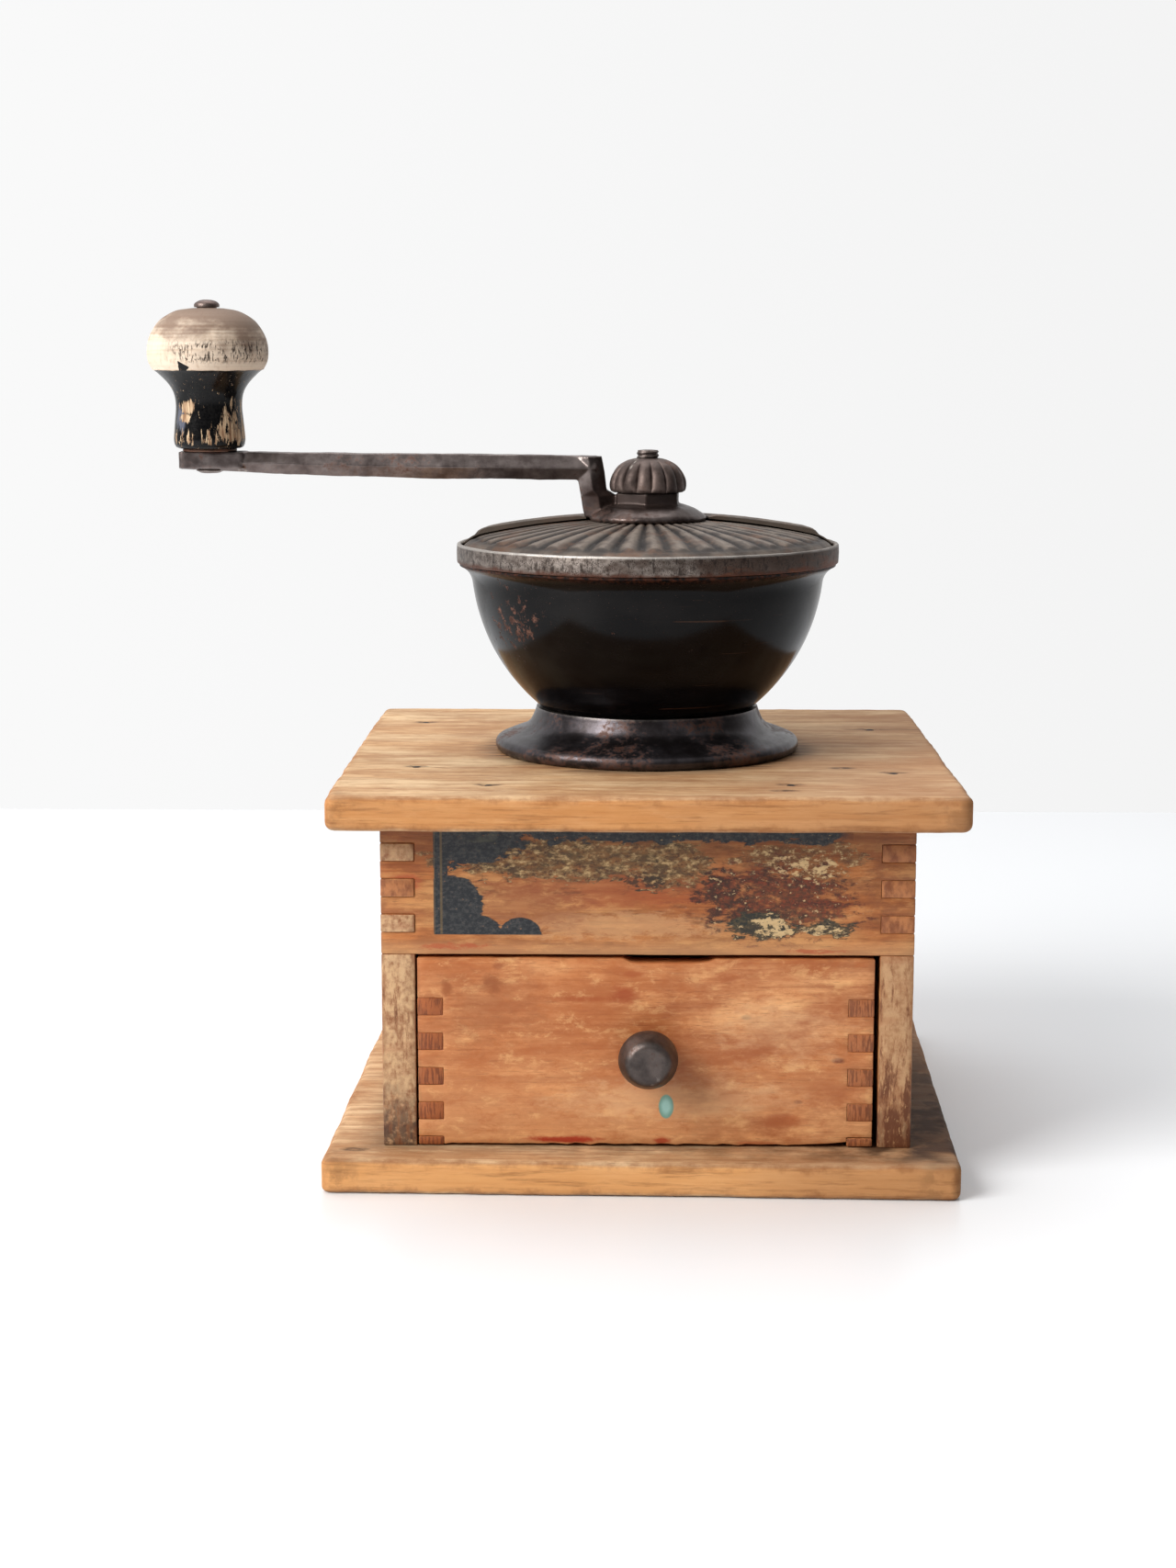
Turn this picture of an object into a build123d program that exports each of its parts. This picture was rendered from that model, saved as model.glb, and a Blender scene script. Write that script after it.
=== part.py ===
"""Hand crank box coffee grinder: finger-jointed wooden box with a drawer, an iron hopper
with a ribbed turning lid, conical burrs, and a crank with a turned wooden knob.

Frame: millimetres, +Z up, origin at the centre of the base board's underside.
The drawer opens towards -Y. The crank arm points towards -X at rest.
"""
from build123d import *
from math import cos, radians, sin, sqrt
import os

os.makedirs("parts", exist_ok=True)

# ---------------------------------------------------------------- driving dimensions (mm)
# wooden box
top_board_size = 178.0
base_board_width = 179.5
base_board_depth = 181.0
base_board_skew = -1.3
board_thickness = 10.0
board_corner = 3.0
board_arris = 2.2
board_hole = 28.0
body_width = 150.0
body_depth = 149.0
body_height = 93.5
wall = 9.5
finger = 5.08
drawer_opening = 56.0

# drawer
drawer_gap = 0.7
drawer_lift = 0.3
drawer_wall = 7.2
drawer_front_height = 54.9
drawer_side_height = 50.2
drawer_length = 137.0
drawer_floor = 4.0
drawer_floor_rise = 1.0
foot_finger = 2.4
drawer_knob_length = 14.2

# hopper
collar_radius = 46.2
collar_neck = 33.9
collar_height = 13.5
collar_lip = 25.0
throat_radius = 22.5
bowl_sphere = 57.9
bowl_inset = -4.54
bowl_wall = 2.0
bowl_height = 38.1
rim_radius = 56.9
band_radius = 57.7
band_height = 6.0

# lid
dome_sphere = 205.0
rib_count = 28
rib_height = 0.8
rib_width_angle = 3.4
rib_start = 19.6
rib_end = 54.4
shell = 1.0
lid_step = 2.1

# burr housing
ring_flange = 3.5
ring_cup = 26.0
ring_teeth = 24
cone_teeth = 18
bridge_bar = 4.0
bridge_width = 14.0
bridge_foot = 12.0
bridge_reach = 35.0
upper_bar = 3.4
upper_bar_width = 13.0
upper_bar_reach = 50.4
boss_radius = 9.0

# spindle and crank
journal = 5.0
lower_journal = 4.0
running_gap = 0.05
thread_radius = 3.4
shank_square = 6.86
crank_radius = 132.0
hub_radius = 17.8
neck_flat = 18.3
arm_half = 5.0
arm_rise = 3.6
arm_pad = 5.4
pin_radius = 3.0
washer_radius = 8.2
washer = 0.8

# nails, bolts, screws and rivets
nail_radius = 0.9
nail_length = 25.0
nail_head_radius = 1.4
nail_head = 0.9
nail_recess = 0.4
top_nails = [(-72.0, 55.0), (-67.6, -36.0), (-44.7, -68.2), (40.3, -66.6), (71.0, -45.6), (71.9, 41.4),
             (-28.0, 70.2), (30.0, 69.6)]
base_nails = [(-70.5, 50.0), (-69.8, -44.0), (69.6, -47.0), (70.4, 48.0), (-40.0, 69.9), (42.0, 69.4)]
brad_radius = 0.7
brad_length = 13.0
knob_screw_radius = 1.9
knob_screw_head_radius = 4.0
knob_screw_head = 2.2
bolt_radius = 2.0
bolt_hole = 2.2
bolt_head_radius = 3.8
bolt_head = 3.0
bolt_circle = 33.5
bolt_count = 3
bolt_start = 90
bridge_screw_radius = 2.2
bridge_screw_head_radius = 4.2
bridge_screw_head = 2.4
bridge_rivet_radius = 1.6
rivet_radius = 1.5
rivet_head_radius = 2.3
rivet_circle = 28.5
rivet_count = 3
rivet_start = 30

# ---------------------------------------------------------------- levels and places
floor_z = board_thickness
roof_z = floor_z + body_height
deck_z = roof_z + board_thickness
opening_z = floor_z + drawer_opening
neck_z = deck_z + collar_height
mouth_z = neck_z + bowl_height
lip_z = mouth_z + 5.5
ledge_z = lip_z + 1.3
band_top_z = lip_z + band_height
dome_apex_z = band_top_z + 8.5
hub_z = dome_apex_z - 2.1
neck_top_z = hub_z + 8.6
nut_z = neck_top_z + 0.1
spindle_top_z = hub_z + 21.3
arm_z = hub_z + 16.0

side_x = body_width / 2 - wall / 2
end_y = body_depth / 2 - wall / 2
inner_x = body_width / 2 - wall
inner_y = body_depth / 2 - wall
face_y = -body_depth / 2

finger_pitch = 2 * finger
top_finger_z = opening_z + 6.4 + finger / 2 + 2 * finger_pitch
rail_fingers = [top_finger_z - i * finger_pitch for i in range(3)]
back_fingers = [top_finger_z - i * finger_pitch for i in range(9)]


def bowl_radius(height, sphere):
    """Radius of the bowl's round wall at a height, for a given sphere radius."""
    centre_z = mouth_z + 6.65
    return bowl_inset + sqrt(sphere**2 - (centre_z - height) ** 2)


def dome_z(radius, drop=0.0):
    """Height of the fixed half lid's plain upper surface at a radius, less a drop."""
    return dome_apex_z - dome_sphere + sqrt(dome_sphere**2 - radius**2) - drop


def meridian(angle):
    """Plane through the spindle's axis, turned about it from XZ by an angle in degrees."""
    turn = radians(angle)
    return Plane(origin=(0, 0, 0), x_dir=(cos(turn), sin(turn), 0), z_dir=(sin(turn), -cos(turn), 0))


def tooth_plane(angle, radius, height, lean, slant):
    """Plane on a burr's grinding face, for one tooth's groove, slanted to the spindle's axis."""
    out = (cos(radians(angle)), sin(radians(angle)))
    plane = Plane(origin=(radius * out[0], radius * out[1], height), x_dir=(-out[1], out[0], 0),
                  z_dir=(out[0], out[1], lean))
    return plane.rotated((0, 0, slant))


# ---------------------------------------------------------------- nails of the box
with BuildPart() as top_board_nails:
    for radius, depth in ((nail_radius, nail_length), (nail_head_radius, nail_head)):
        with BuildSketch(Plane.XY.offset(deck_z)):
            with Locations(*top_nails):
                Circle(radius)
        extrude(amount=-depth)
top_board_nails.part.label = "top_board_nails"
export_step(top_board_nails.part, "parts/top_board_nails.step")

with BuildPart() as base_board_nails:
    for radius, depth in ((nail_radius, nail_length), (nail_head_radius, nail_head)):
        with BuildSketch(Plane.XY.offset(nail_recess)):
            with Locations(*base_nails):
                Circle(radius)
        extrude(amount=depth)
base_board_nails.part.label = "base_board_nails"
export_step(base_board_nails.part, "parts/base_board_nails.step")

# ---------------------------------------------------------------- boards
with BuildPart() as top_board:
    with BuildSketch(Plane.XY.offset(roof_z)):
        RectangleRounded(top_board_size, top_board_size, board_corner)
    extrude(amount=board_thickness)
    fillet(top_board.faces().sort_by(Axis.Z)[-1].edges(), board_arris)
    fillet(top_board.faces().sort_by(Axis.Z)[0].edges(), board_arris)
    with Locations((0, 0, deck_z)):
        Hole(board_hole, board_thickness)
        with PolarLocations(bolt_circle, bolt_count, start_angle=bolt_start):
            Hole(bolt_hole, board_thickness)
    add(top_board_nails.part, mode=Mode.SUBTRACT)
top_board.part.label = "top_board"
export_step(top_board.part, "parts/top_board.step")

with BuildPart() as base_board:
    with BuildSketch():
        RectangleRounded(base_board_width, base_board_depth, board_corner, rotation=base_board_skew)
    extrude(amount=board_thickness)
    fillet(base_board.faces().sort_by(Axis.Z)[-1].edges(), board_arris)
    fillet(base_board.faces().sort_by(Axis.Z)[0].edges(), board_arris)
    with BuildSketch():
        with Locations(*base_nails):
            Circle(nail_head_radius)
    extrude(amount=nail_recess, mode=Mode.SUBTRACT)
    add(base_board_nails.part, mode=Mode.SUBTRACT)
base_board.part.label = "base_board"
export_step(base_board.part, "parts/base_board.step")

# ---------------------------------------------------------------- box walls, finger-jointed
for label, outer_x, inward in (("left_side", -body_width / 2, wall), ("right_side", body_width / 2, -wall)):
    with BuildPart() as side_panel:
        with BuildSketch(Plane.YZ.offset(outer_x)):
            with Locations((0, (floor_z + roof_z) / 2)):
                Rectangle(2 * inner_y, body_height)
            with Locations((-end_y, (floor_z + opening_z) / 2)):
                Rectangle(wall, drawer_opening)
            with Locations(*[(-end_y, z) for z in rail_fingers], *[(end_y, z) for z in back_fingers]):
                Rectangle(wall, finger)
        extrude(amount=inward)
        add(top_board_nails.part, mode=Mode.SUBTRACT)
        add(base_board_nails.part, mode=Mode.SUBTRACT)
    side_panel.part.label = label
    export_step(side_panel.part, f"parts/{label}.step")

with BuildPart() as front_panel:
    with BuildSketch(Plane.XZ.offset(inner_y)):
        with Locations((0, (opening_z + roof_z) / 2)):
            Rectangle(body_width, roof_z - opening_z)
        with Locations(*[(x, z) for x in (-side_x, side_x) for z in rail_fingers]):
            Rectangle(wall, finger, mode=Mode.SUBTRACT)
    extrude(amount=wall)
    add(top_board_nails.part, mode=Mode.SUBTRACT)
front_panel.part.label = "front_panel"
export_step(front_panel.part, "parts/front_panel.step")

with BuildPart() as back_panel:
    with BuildSketch(Plane.XZ.offset(-body_depth / 2)):
        with Locations((0, (floor_z + roof_z) / 2)):
            Rectangle(body_width, body_height)
        with Locations(*[(x, z) for x in (-side_x, side_x) for z in back_fingers]):
            Rectangle(wall, finger, mode=Mode.SUBTRACT)
    extrude(amount=wall)
    add(top_board_nails.part, mode=Mode.SUBTRACT)
    add(base_board_nails.part, mode=Mode.SUBTRACT)
back_panel.part.label = "back_panel"
export_step(back_panel.part, "parts/back_panel.step")

# ---------------------------------------------------------------- drawer
drawer_x = inner_x - drawer_gap
drawer_z = floor_z + drawer_lift
drawer_back_y = face_y + drawer_length
drawer_fingers = [drawer_z + 10.02 + i * finger_pitch for i in range(4)]
brad_places = [(y, drawer_z + drawer_floor_rise + drawer_floor / 2) for y in (-45, -5, 35)]
knob_z = drawer_z + drawer_front_height / 2

with BuildPart() as drawer_knob_screw:
    with BuildSketch(Plane.XZ.offset(-face_y - drawer_wall)):
        with Locations((0, knob_z)):
            Circle(knob_screw_radius)
    extrude(amount=drawer_wall + 8)
    with BuildSketch(Plane.XZ.offset(-face_y - drawer_wall)):
        with Locations((0, knob_z)):
            Circle(knob_screw_head_radius)
    extrude(amount=-knob_screw_head)
    fillet(drawer_knob_screw.edges().sort_by(Axis.Y)[-1], 1.2)
drawer_knob_screw.part.label = "drawer_knob_screw"
export_step(drawer_knob_screw.part, "parts/drawer_knob_screw.step")

with BuildPart() as drawer_knob:
    knob_axis = Axis((0, face_y, knob_z), (0, -1, 0))
    with BuildSketch(Plane.YZ):
        with BuildLine():
            Polyline((face_y, knob_z), (face_y, knob_z + 5.0), (face_y - 1.2, knob_z + 4.4))
            ThreePointArc((face_y - 1.2, knob_z + 4.4), (face_y - 4.0, knob_z + 5.4),
                          (face_y - 6.6, knob_z + 8.3))
            ThreePointArc((face_y - 6.6, knob_z + 8.3), (face_y - 8.3, knob_z + 8.6),
                          (face_y - 9.8, knob_z + 8.2))
            Line((face_y - 9.8, knob_z + 8.2), (face_y - 12.9, knob_z + 6.6))
            ThreePointArc((face_y - 12.9, knob_z + 6.6), (face_y - 13.9, knob_z + 4.2),
                          (face_y - drawer_knob_length, knob_z + 1.0))
            Polyline((face_y - drawer_knob_length, knob_z + 1.0), (face_y - drawer_knob_length, knob_z),
                     (face_y, knob_z))
        make_face()
    revolve(axis=knob_axis)
    add(drawer_knob_screw.part, mode=Mode.SUBTRACT)
drawer_knob.part.label = "drawer_knob"
export_step(drawer_knob.part, "parts/drawer_knob.step")

with BuildPart() as drawer_brads:
    for side in (-1, 1):
        with BuildSketch(Plane.YZ.offset(side * drawer_x)):
            with Locations(*brad_places):
                Circle(brad_radius)
        extrude(amount=-side * brad_length)
drawer_brads.part.label = "drawer_brads"
export_step(drawer_brads.part, "parts/drawer_brads.step")

with BuildPart() as drawer_front:
    with BuildSketch(Plane.XZ.offset(-face_y - drawer_wall)):
        with Locations((0, drawer_z + drawer_front_height / 2)):
            Rectangle(2 * drawer_x, drawer_front_height)
        for x in (-drawer_x + drawer_wall / 2, drawer_x - drawer_wall / 2):
            with Locations(*[(x, z) for z in drawer_fingers]):
                Rectangle(drawer_wall, finger, mode=Mode.SUBTRACT)
            with Locations((x, drawer_z + foot_finger / 2)):
                Rectangle(drawer_wall, foot_finger, mode=Mode.SUBTRACT)
    extrude(amount=drawer_wall)
    add(drawer_knob_screw.part, mode=Mode.SUBTRACT)
drawer_front.part.label = "drawer_front"
export_step(drawer_front.part, "parts/drawer_front.step")

with BuildPart() as drawer_left_side:
    with BuildSketch(Plane.YZ.offset(-drawer_x)):
        with Locations(((face_y + drawer_back_y) / 2, drawer_z + drawer_side_height / 2)):
            Rectangle(drawer_length - 2 * drawer_wall, drawer_side_height)
        for y in (face_y + drawer_wall / 2, drawer_back_y - drawer_wall / 2):
            with Locations(*[(y, z) for z in drawer_fingers]):
                Rectangle(drawer_wall, finger)
            with Locations((y, drawer_z + foot_finger / 2)):
                Rectangle(drawer_wall, foot_finger)
    extrude(amount=drawer_wall)
    add(drawer_brads.part, mode=Mode.SUBTRACT)
drawer_left_side.part.label = "drawer_left_side"
export_step(drawer_left_side.part, "parts/drawer_left_side.step")

with BuildPart() as drawer_right_side:
    mirror(drawer_left_side.part, about=Plane.YZ)
drawer_right_side.part.label = "drawer_right_side"
export_step(drawer_right_side.part, "parts/drawer_right_side.step")

with BuildPart() as drawer_back:
    with BuildSketch(Plane.XZ.offset(-drawer_back_y)):
        with Locations((0, drawer_z + drawer_side_height / 2)):
            Rectangle(2 * drawer_x, drawer_side_height)
        for x in (-drawer_x + drawer_wall / 2, drawer_x - drawer_wall / 2):
            with Locations(*[(x, z) for z in drawer_fingers]):
                Rectangle(drawer_wall, finger, mode=Mode.SUBTRACT)
            with Locations((x, drawer_z + foot_finger / 2)):
                Rectangle(drawer_wall, foot_finger, mode=Mode.SUBTRACT)
    extrude(amount=drawer_wall)
drawer_back.part.label = "drawer_back"
export_step(drawer_back.part, "parts/drawer_back.step")

with BuildPart() as drawer_bottom:
    with BuildSketch(Plane.XY.offset(drawer_z + drawer_floor_rise)):
        with Locations((0, (face_y + drawer_back_y) / 2)):
            Rectangle(2 * (drawer_x - drawer_wall), drawer_length - 2 * drawer_wall)
    extrude(amount=drawer_floor)
    add(drawer_brads.part, mode=Mode.SUBTRACT)
drawer_bottom.part.label = "drawer_bottom"
export_step(drawer_bottom.part, "parts/drawer_bottom.step")

# ---------------------------------------------------------------- burr housing under the deck
ring_z = roof_z - ring_flange
ring_top_z = neck_z - 2.6
bridge_bar_z = ring_z - 12.0

with BuildPart() as housing_bolts:
    with BuildSketch(Plane.XY.offset(ring_z)):
        with PolarLocations(bolt_circle, bolt_count, start_angle=bolt_start):
            Circle(bolt_radius)
    extrude(amount=ring_flange + board_thickness + 3.5)
    with BuildSketch(Plane.XY.offset(ring_z)):
        with PolarLocations(bolt_circle, bolt_count, start_angle=bolt_start):
            RegularPolygon(bolt_head_radius, 6)
    extrude(amount=-bolt_head)
housing_bolts.part.label = "housing_bolts"
export_step(housing_bolts.part, "parts/housing_bolts.step")

with BuildPart() as bridge_screws:
    for x in (-bridge_reach, bridge_reach):
        with BuildSketch(Plane.XY.offset(bridge_bar_z)):
            with Locations((x, 0)):
                Circle(bridge_screw_radius)
        extrude(amount=ring_z - bridge_bar_z + 3.0)
        with BuildSketch(Plane.XY.offset(bridge_bar_z)):
            with Locations((x, 0)):
                Circle(bridge_screw_head_radius)
        extrude(amount=-bridge_screw_head)
        with Locations((x, 0, bridge_bar_z - bridge_screw_head)):
            Box(9, 1.2, 2.2, mode=Mode.SUBTRACT)
bridge_screws.part.label = "bridge_screws"
export_step(bridge_screws.part, "parts/bridge_screws.step")

with BuildPart() as grinding_ring:
    with BuildSketch(Plane.XZ):
        with BuildLine():
            Polyline((23.4, ring_z), (40.0, ring_z), (40.0, roof_z), (ring_cup, roof_z),
                     (ring_cup, ring_top_z), (throat_radius, ring_top_z), (20.4, ring_z + 11),
                     (23.4, ring_z))
        make_face()
    revolve(axis=Axis.Z)
    for i in range(ring_teeth):
        with BuildSketch(tooth_plane(360 / ring_teeth * i, 21.9, ring_z + 5.5, 0.0, 28)):
            Rectangle(1.4, 16)
        extrude(amount=1.3, mode=Mode.SUBTRACT)
    with Locations((0, 0, roof_z)):
        with PolarLocations(bolt_circle, bolt_count, start_angle=bolt_start):
            Hole(bolt_hole, ring_flange)
    add(bridge_screws.part, mode=Mode.SUBTRACT)
grinding_ring.part.label = "grinding_ring"
export_step(grinding_ring.part, "parts/grinding_ring.step")

with BuildPart() as lower_bridge:
    with BuildSketch(Plane.XZ.offset(-bridge_width / 2)):
        with Locations((0, bridge_bar_z + bridge_bar / 2)):
            Rectangle(2 * bridge_reach + bridge_foot, bridge_bar)
        for x in (-bridge_reach, bridge_reach):
            with Locations((x, (bridge_bar_z + ring_z) / 2)):
                Rectangle(bridge_foot, ring_z - bridge_bar_z)
    extrude(amount=bridge_width)
    with BuildSketch(Plane.XY.offset(bridge_bar_z - 2)):
        Circle(8)
    extrude(amount=8)
    with Locations((0, 0, bridge_bar_z + 6)):
        Hole(lower_journal + running_gap, 12)
    add(bridge_screws.part, mode=Mode.SUBTRACT)
lower_bridge.part.label = "lower_bridge"
export_step(lower_bridge.part, "parts/lower_bridge.step")

# ---------------------------------------------------------------- hopper
collar_top = 2.4
cove_x = collar_radius - 2.7
cove_radius = cove_x - collar_neck
cove_z = neck_z - 1.2
cove_mid = cove_radius * cos(radians(45))
inner_cove = cove_radius + 2.4
inner_mid = inner_cove * cos(radians(45))

with BuildPart() as hopper_collar:
    with BuildSketch(Plane.XZ):
        with BuildLine():
            Polyline((cove_x - 3.0, deck_z), (collar_radius - 0.5, deck_z), (collar_radius, deck_z + 0.5),
                     (collar_radius, deck_z + 1.3), (collar_radius - 0.8, deck_z + 2.0),
                     (cove_x, cove_z - cove_radius))
            ThreePointArc((cove_x, cove_z - cove_radius), (cove_x - cove_mid, cove_z - cove_mid),
                          (collar_neck, cove_z))
            Polyline((collar_neck, cove_z), (collar_neck, neck_z), (collar_lip, neck_z),
                     (collar_lip, neck_z - collar_top), (cove_x - inner_cove, neck_z - collar_top),
                     (cove_x - inner_cove, cove_z))
            ThreePointArc((cove_x - inner_cove, cove_z), (cove_x - inner_mid, cove_z - inner_mid),
                          (cove_x - 3.0, cove_z - sqrt(inner_cove**2 - 3.0**2)))
            Line((cove_x - 3.0, cove_z - sqrt(inner_cove**2 - 3.0**2)), (cove_x - 3.0, deck_z))
        make_face()
    revolve(axis=Axis.Z)
    with BuildSketch(Plane.XY.offset(deck_z)):
        with PolarLocations(bolt_circle, bolt_count, start_angle=bolt_start):
            Circle(3.8)
    extrude(amount=4.5)
    with BuildSketch(Plane.XY.offset(neck_z)):
        with PolarLocations(rivet_circle, rivet_count, start_angle=rivet_start):
            Circle(rivet_radius)
    extrude(amount=-collar_top, mode=Mode.SUBTRACT)
    add(housing_bolts.part, mode=Mode.SUBTRACT)
hopper_collar.part.label = "hopper_collar"
export_step(hopper_collar.part, "parts/hopper_collar.step")

with BuildPart() as bowl_rivets:
    with BuildSketch(Plane.XY.offset(neck_z - collar_top)):
        with PolarLocations(rivet_circle, rivet_count, start_angle=rivet_start):
            Circle(rivet_radius)
    extrude(amount=collar_top + bowl_wall)
    for head_z, rise in ((neck_z - collar_top, -0.9), (neck_z + bowl_wall, 1.1)):
        with BuildSketch(Plane.XY.offset(head_z)):
            with PolarLocations(rivet_circle, rivet_count, start_angle=rivet_start):
                Circle(rivet_head_radius)
        extrude(amount=rise)
bowl_rivets.part.label = "bowl_rivets"
export_step(bowl_rivets.part, "parts/bowl_rivets.step")

lug_z = mouth_z - 7.0
lug_x = 43.2
inner_sphere = bowl_sphere - bowl_wall
middle_z = neck_z + 19.6

with BuildPart() as bridge_rivets:
    for side in (-1, 1):
        with BuildSketch(Plane.YZ.offset(side * lug_x)):
            with Locations((0, lug_z)):
                Circle(bridge_rivet_radius)
        extrude(amount=side * 7.9)
bridge_rivets.part.label = "bridge_rivets"
export_step(bridge_rivets.part, "parts/bridge_rivets.step")

with BuildPart() as hopper_bowl:
    with BuildSketch(Plane.XZ):
        with BuildLine():
            Polyline((bowl_radius(neck_z, bowl_sphere), neck_z), (collar_lip - 0.1, neck_z),
                     (collar_lip - 0.1, ring_top_z + 0.2), (throat_radius, ring_top_z + 0.2),
                     (throat_radius, neck_z + bowl_wall),
                     (bowl_radius(neck_z + bowl_wall, inner_sphere), neck_z + bowl_wall))
            ThreePointArc((bowl_radius(neck_z + bowl_wall, inner_sphere), neck_z + bowl_wall),
                          (bowl_radius(middle_z, inner_sphere), middle_z),
                          (bowl_radius(mouth_z, inner_sphere), mouth_z))
            Polyline((bowl_radius(mouth_z, inner_sphere), mouth_z), (53.4, lip_z - 0.6),
                     (53.4, ledge_z), (56.0, ledge_z), (56.0, lip_z), (rim_radius, lip_z),
                     (rim_radius, lip_z - 0.7))
            ThreePointArc((rim_radius, lip_z - 0.7), (54.6, mouth_z + 3.0),
                          (bowl_radius(mouth_z, bowl_sphere), mouth_z))
            ThreePointArc((bowl_radius(mouth_z, bowl_sphere), mouth_z),
                          (bowl_radius(middle_z, bowl_sphere), middle_z),
                          (bowl_radius(neck_z, bowl_sphere), neck_z))
        make_face()
    revolve(axis=Axis.Z)
    add(bowl_rivets.part, mode=Mode.SUBTRACT)
    for side in (-1, 1):
        with BuildSketch(Plane.YZ.offset(side * lug_x)):
            with Locations((0, lug_z)):
                Circle(bridge_rivet_radius)
        extrude(amount=side * 10, mode=Mode.SUBTRACT)
hopper_bowl.part.label = "hopper_bowl"
export_step(hopper_bowl.part, "parts/hopper_bowl.step")

# bearing bar across the bowl's mouth, with a boss that carries the spindle and the door
bar_z = mouth_z - 2.0
lug_width = 7.2
lug_foot_z = lug_z - 4.5
fitted_sphere = inner_sphere - 0.15

with BuildPart() as upper_bridge:
    with BuildSketch(Plane.XY.offset(bar_z)):
        Rectangle(2 * upper_bar_reach, upper_bar_width)
    extrude(amount=upper_bar)
    with BuildSketch(Plane.XY.offset(lug_foot_z)):
        for side in (-1, 1):
            with Locations((side * (upper_bar_reach - lug_width / 2), 0)):
                Rectangle(lug_width, upper_bar_width)
    extrude(amount=bar_z - lug_foot_z)
    with BuildSketch(Plane.XZ):
        with BuildLine():
            Polyline((0, lug_foot_z), (0, bar_z + 6), (bowl_radius(mouth_z, fitted_sphere), bar_z + 6),
                     (bowl_radius(mouth_z, fitted_sphere), mouth_z))
            ThreePointArc((bowl_radius(mouth_z, fitted_sphere), mouth_z),
                          (bowl_radius(lug_z, fitted_sphere), lug_z),
                          (bowl_radius(lug_foot_z, fitted_sphere), lug_foot_z))
            Line((bowl_radius(lug_foot_z, fitted_sphere), lug_foot_z), (0, lug_foot_z))
        make_face()
    revolve(axis=Axis.Z, mode=Mode.INTERSECT)
    with BuildSketch(Plane.XY.offset(bar_z - 3)):
        Circle(boss_radius)
    extrude(amount=hub_z - 0.1 - bar_z + 3)
    with Locations((0, 0, hub_z)):
        Hole(journal + running_gap, 30)
    add(bridge_rivets.part, mode=Mode.SUBTRACT)
upper_bridge.part.label = "upper_bridge"
export_step(upper_bridge.part, "parts/upper_bridge.step")

# ---------------------------------------------------------------- lid
rib_angle = 180 / rib_count
rib_bevel = 1.2
lid_eye = hub_radius + 0.8


def dome_arc(start, end, drop):
    """Arc along the lid's dome between two radii, lowered by a drop."""
    middle = (start + end) / 2
    return ThreePointArc((start, dome_z(start, drop)), (middle, dome_z(middle, drop)),
                         (end, dome_z(end, drop)))


def rib_profile(drop):
    """Closed outline of one rib's long section, bedded in a shell lowered by a drop."""
    with BuildSketch(Plane.XZ, mode=Mode.PRIVATE) as profile:
        with BuildLine():
            dome_arc(rib_start, rib_end, drop + 0.5)
            Line((rib_end, dome_z(rib_end, drop + 0.5)),
                 (rib_end - rib_bevel, dome_z(rib_end - rib_bevel, drop - rib_height)))
            dome_arc(rib_start + rib_bevel, rib_end - rib_bevel, drop - rib_height)
            Line((rib_start + rib_bevel, dome_z(rib_start + rib_bevel, drop - rib_height)),
                 (rib_start, dome_z(rib_start, drop + 0.5)))
        make_face()
    return revolve(profile.sketch, axis=Axis.Z, revolution_arc=rib_width_angle, mode=Mode.PRIVATE)


fixed_rib = rib_profile(0)
door_rib = rib_profile(lid_step)

with BuildPart() as lid_ring:
    with BuildSketch(Plane.XZ):
        with BuildLine():
            Polyline((56.1, lip_z), (band_radius - 0.5, lip_z), (band_radius, lip_z + 0.7),
                     (band_radius, band_top_z - 0.9), (band_radius - 0.6, band_top_z - 0.1),
                     (56.1, band_top_z - 0.3), (56.1, ledge_z + 1.3), (52.6, ledge_z + 1.3),
                     (52.6, ledge_z), (56.1, ledge_z), (56.1, lip_z))
        make_face()
    revolve(axis=Axis.Z)
    with BuildSketch(Plane.XZ):
        with BuildLine():
            dome_arc(lid_eye, 55.6, 0)
            Polyline((55.6, dome_z(55.6)), (57.1, band_top_z - 0.1), (57.1, band_top_z - 0.9),
                     (55.8, dome_z(55.8, shell)))
            dome_arc(lid_eye, 55.8, shell)
            Line((lid_eye, dome_z(lid_eye, shell)), (lid_eye, dome_z(lid_eye)))
        make_face()
    revolve(axis=Axis.Z, revolution_arc=180)
    for i in range(rib_count):
        add(fixed_rib.rotate(Axis.Z, (i + 0.5) * rib_angle - rib_width_angle / 2))
lid_ring.part.label = "lid_ring"
export_step(lid_ring.part, "parts/lid_ring.step")

door_rim = 55.8
door_seat = 53.0
door_start = 14.0
door_eye = boss_radius + 0.07

with BuildPart() as lid_door:
    with BuildSketch(meridian(178)):
        with BuildLine():
            dome_arc(door_start, door_rim - 0.2, lid_step)
            Polyline((door_rim - 0.2, dome_z(door_rim - 0.2, lid_step)), (door_rim, ledge_z + 2.4),
                     (door_rim, ledge_z + 1.5), (door_seat, ledge_z + 1.5),
                     (door_seat, dome_z(door_seat, lid_step + shell)))
            dome_arc(door_start, door_seat, lid_step + shell)
            Line((door_start, dome_z(door_start, lid_step + shell)),
                 (door_start, dome_z(door_start, lid_step)))
        make_face()
    revolve(axis=Axis.Z, revolution_arc=184)
    with BuildSketch(Plane.XY.offset(hub_z - 3.4)):
        Circle(door_start + 1)
        Circle(door_eye, mode=Mode.SUBTRACT)
    extrude(amount=2.7)
    for i in range(rib_count):
        add(door_rib.rotate(Axis.Z, 180 + (i + 0.5) * rib_angle - rib_width_angle / 2))
lid_door.part.label = "lid_door"
export_step(lid_door.part, "parts/lid_door.step")

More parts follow.
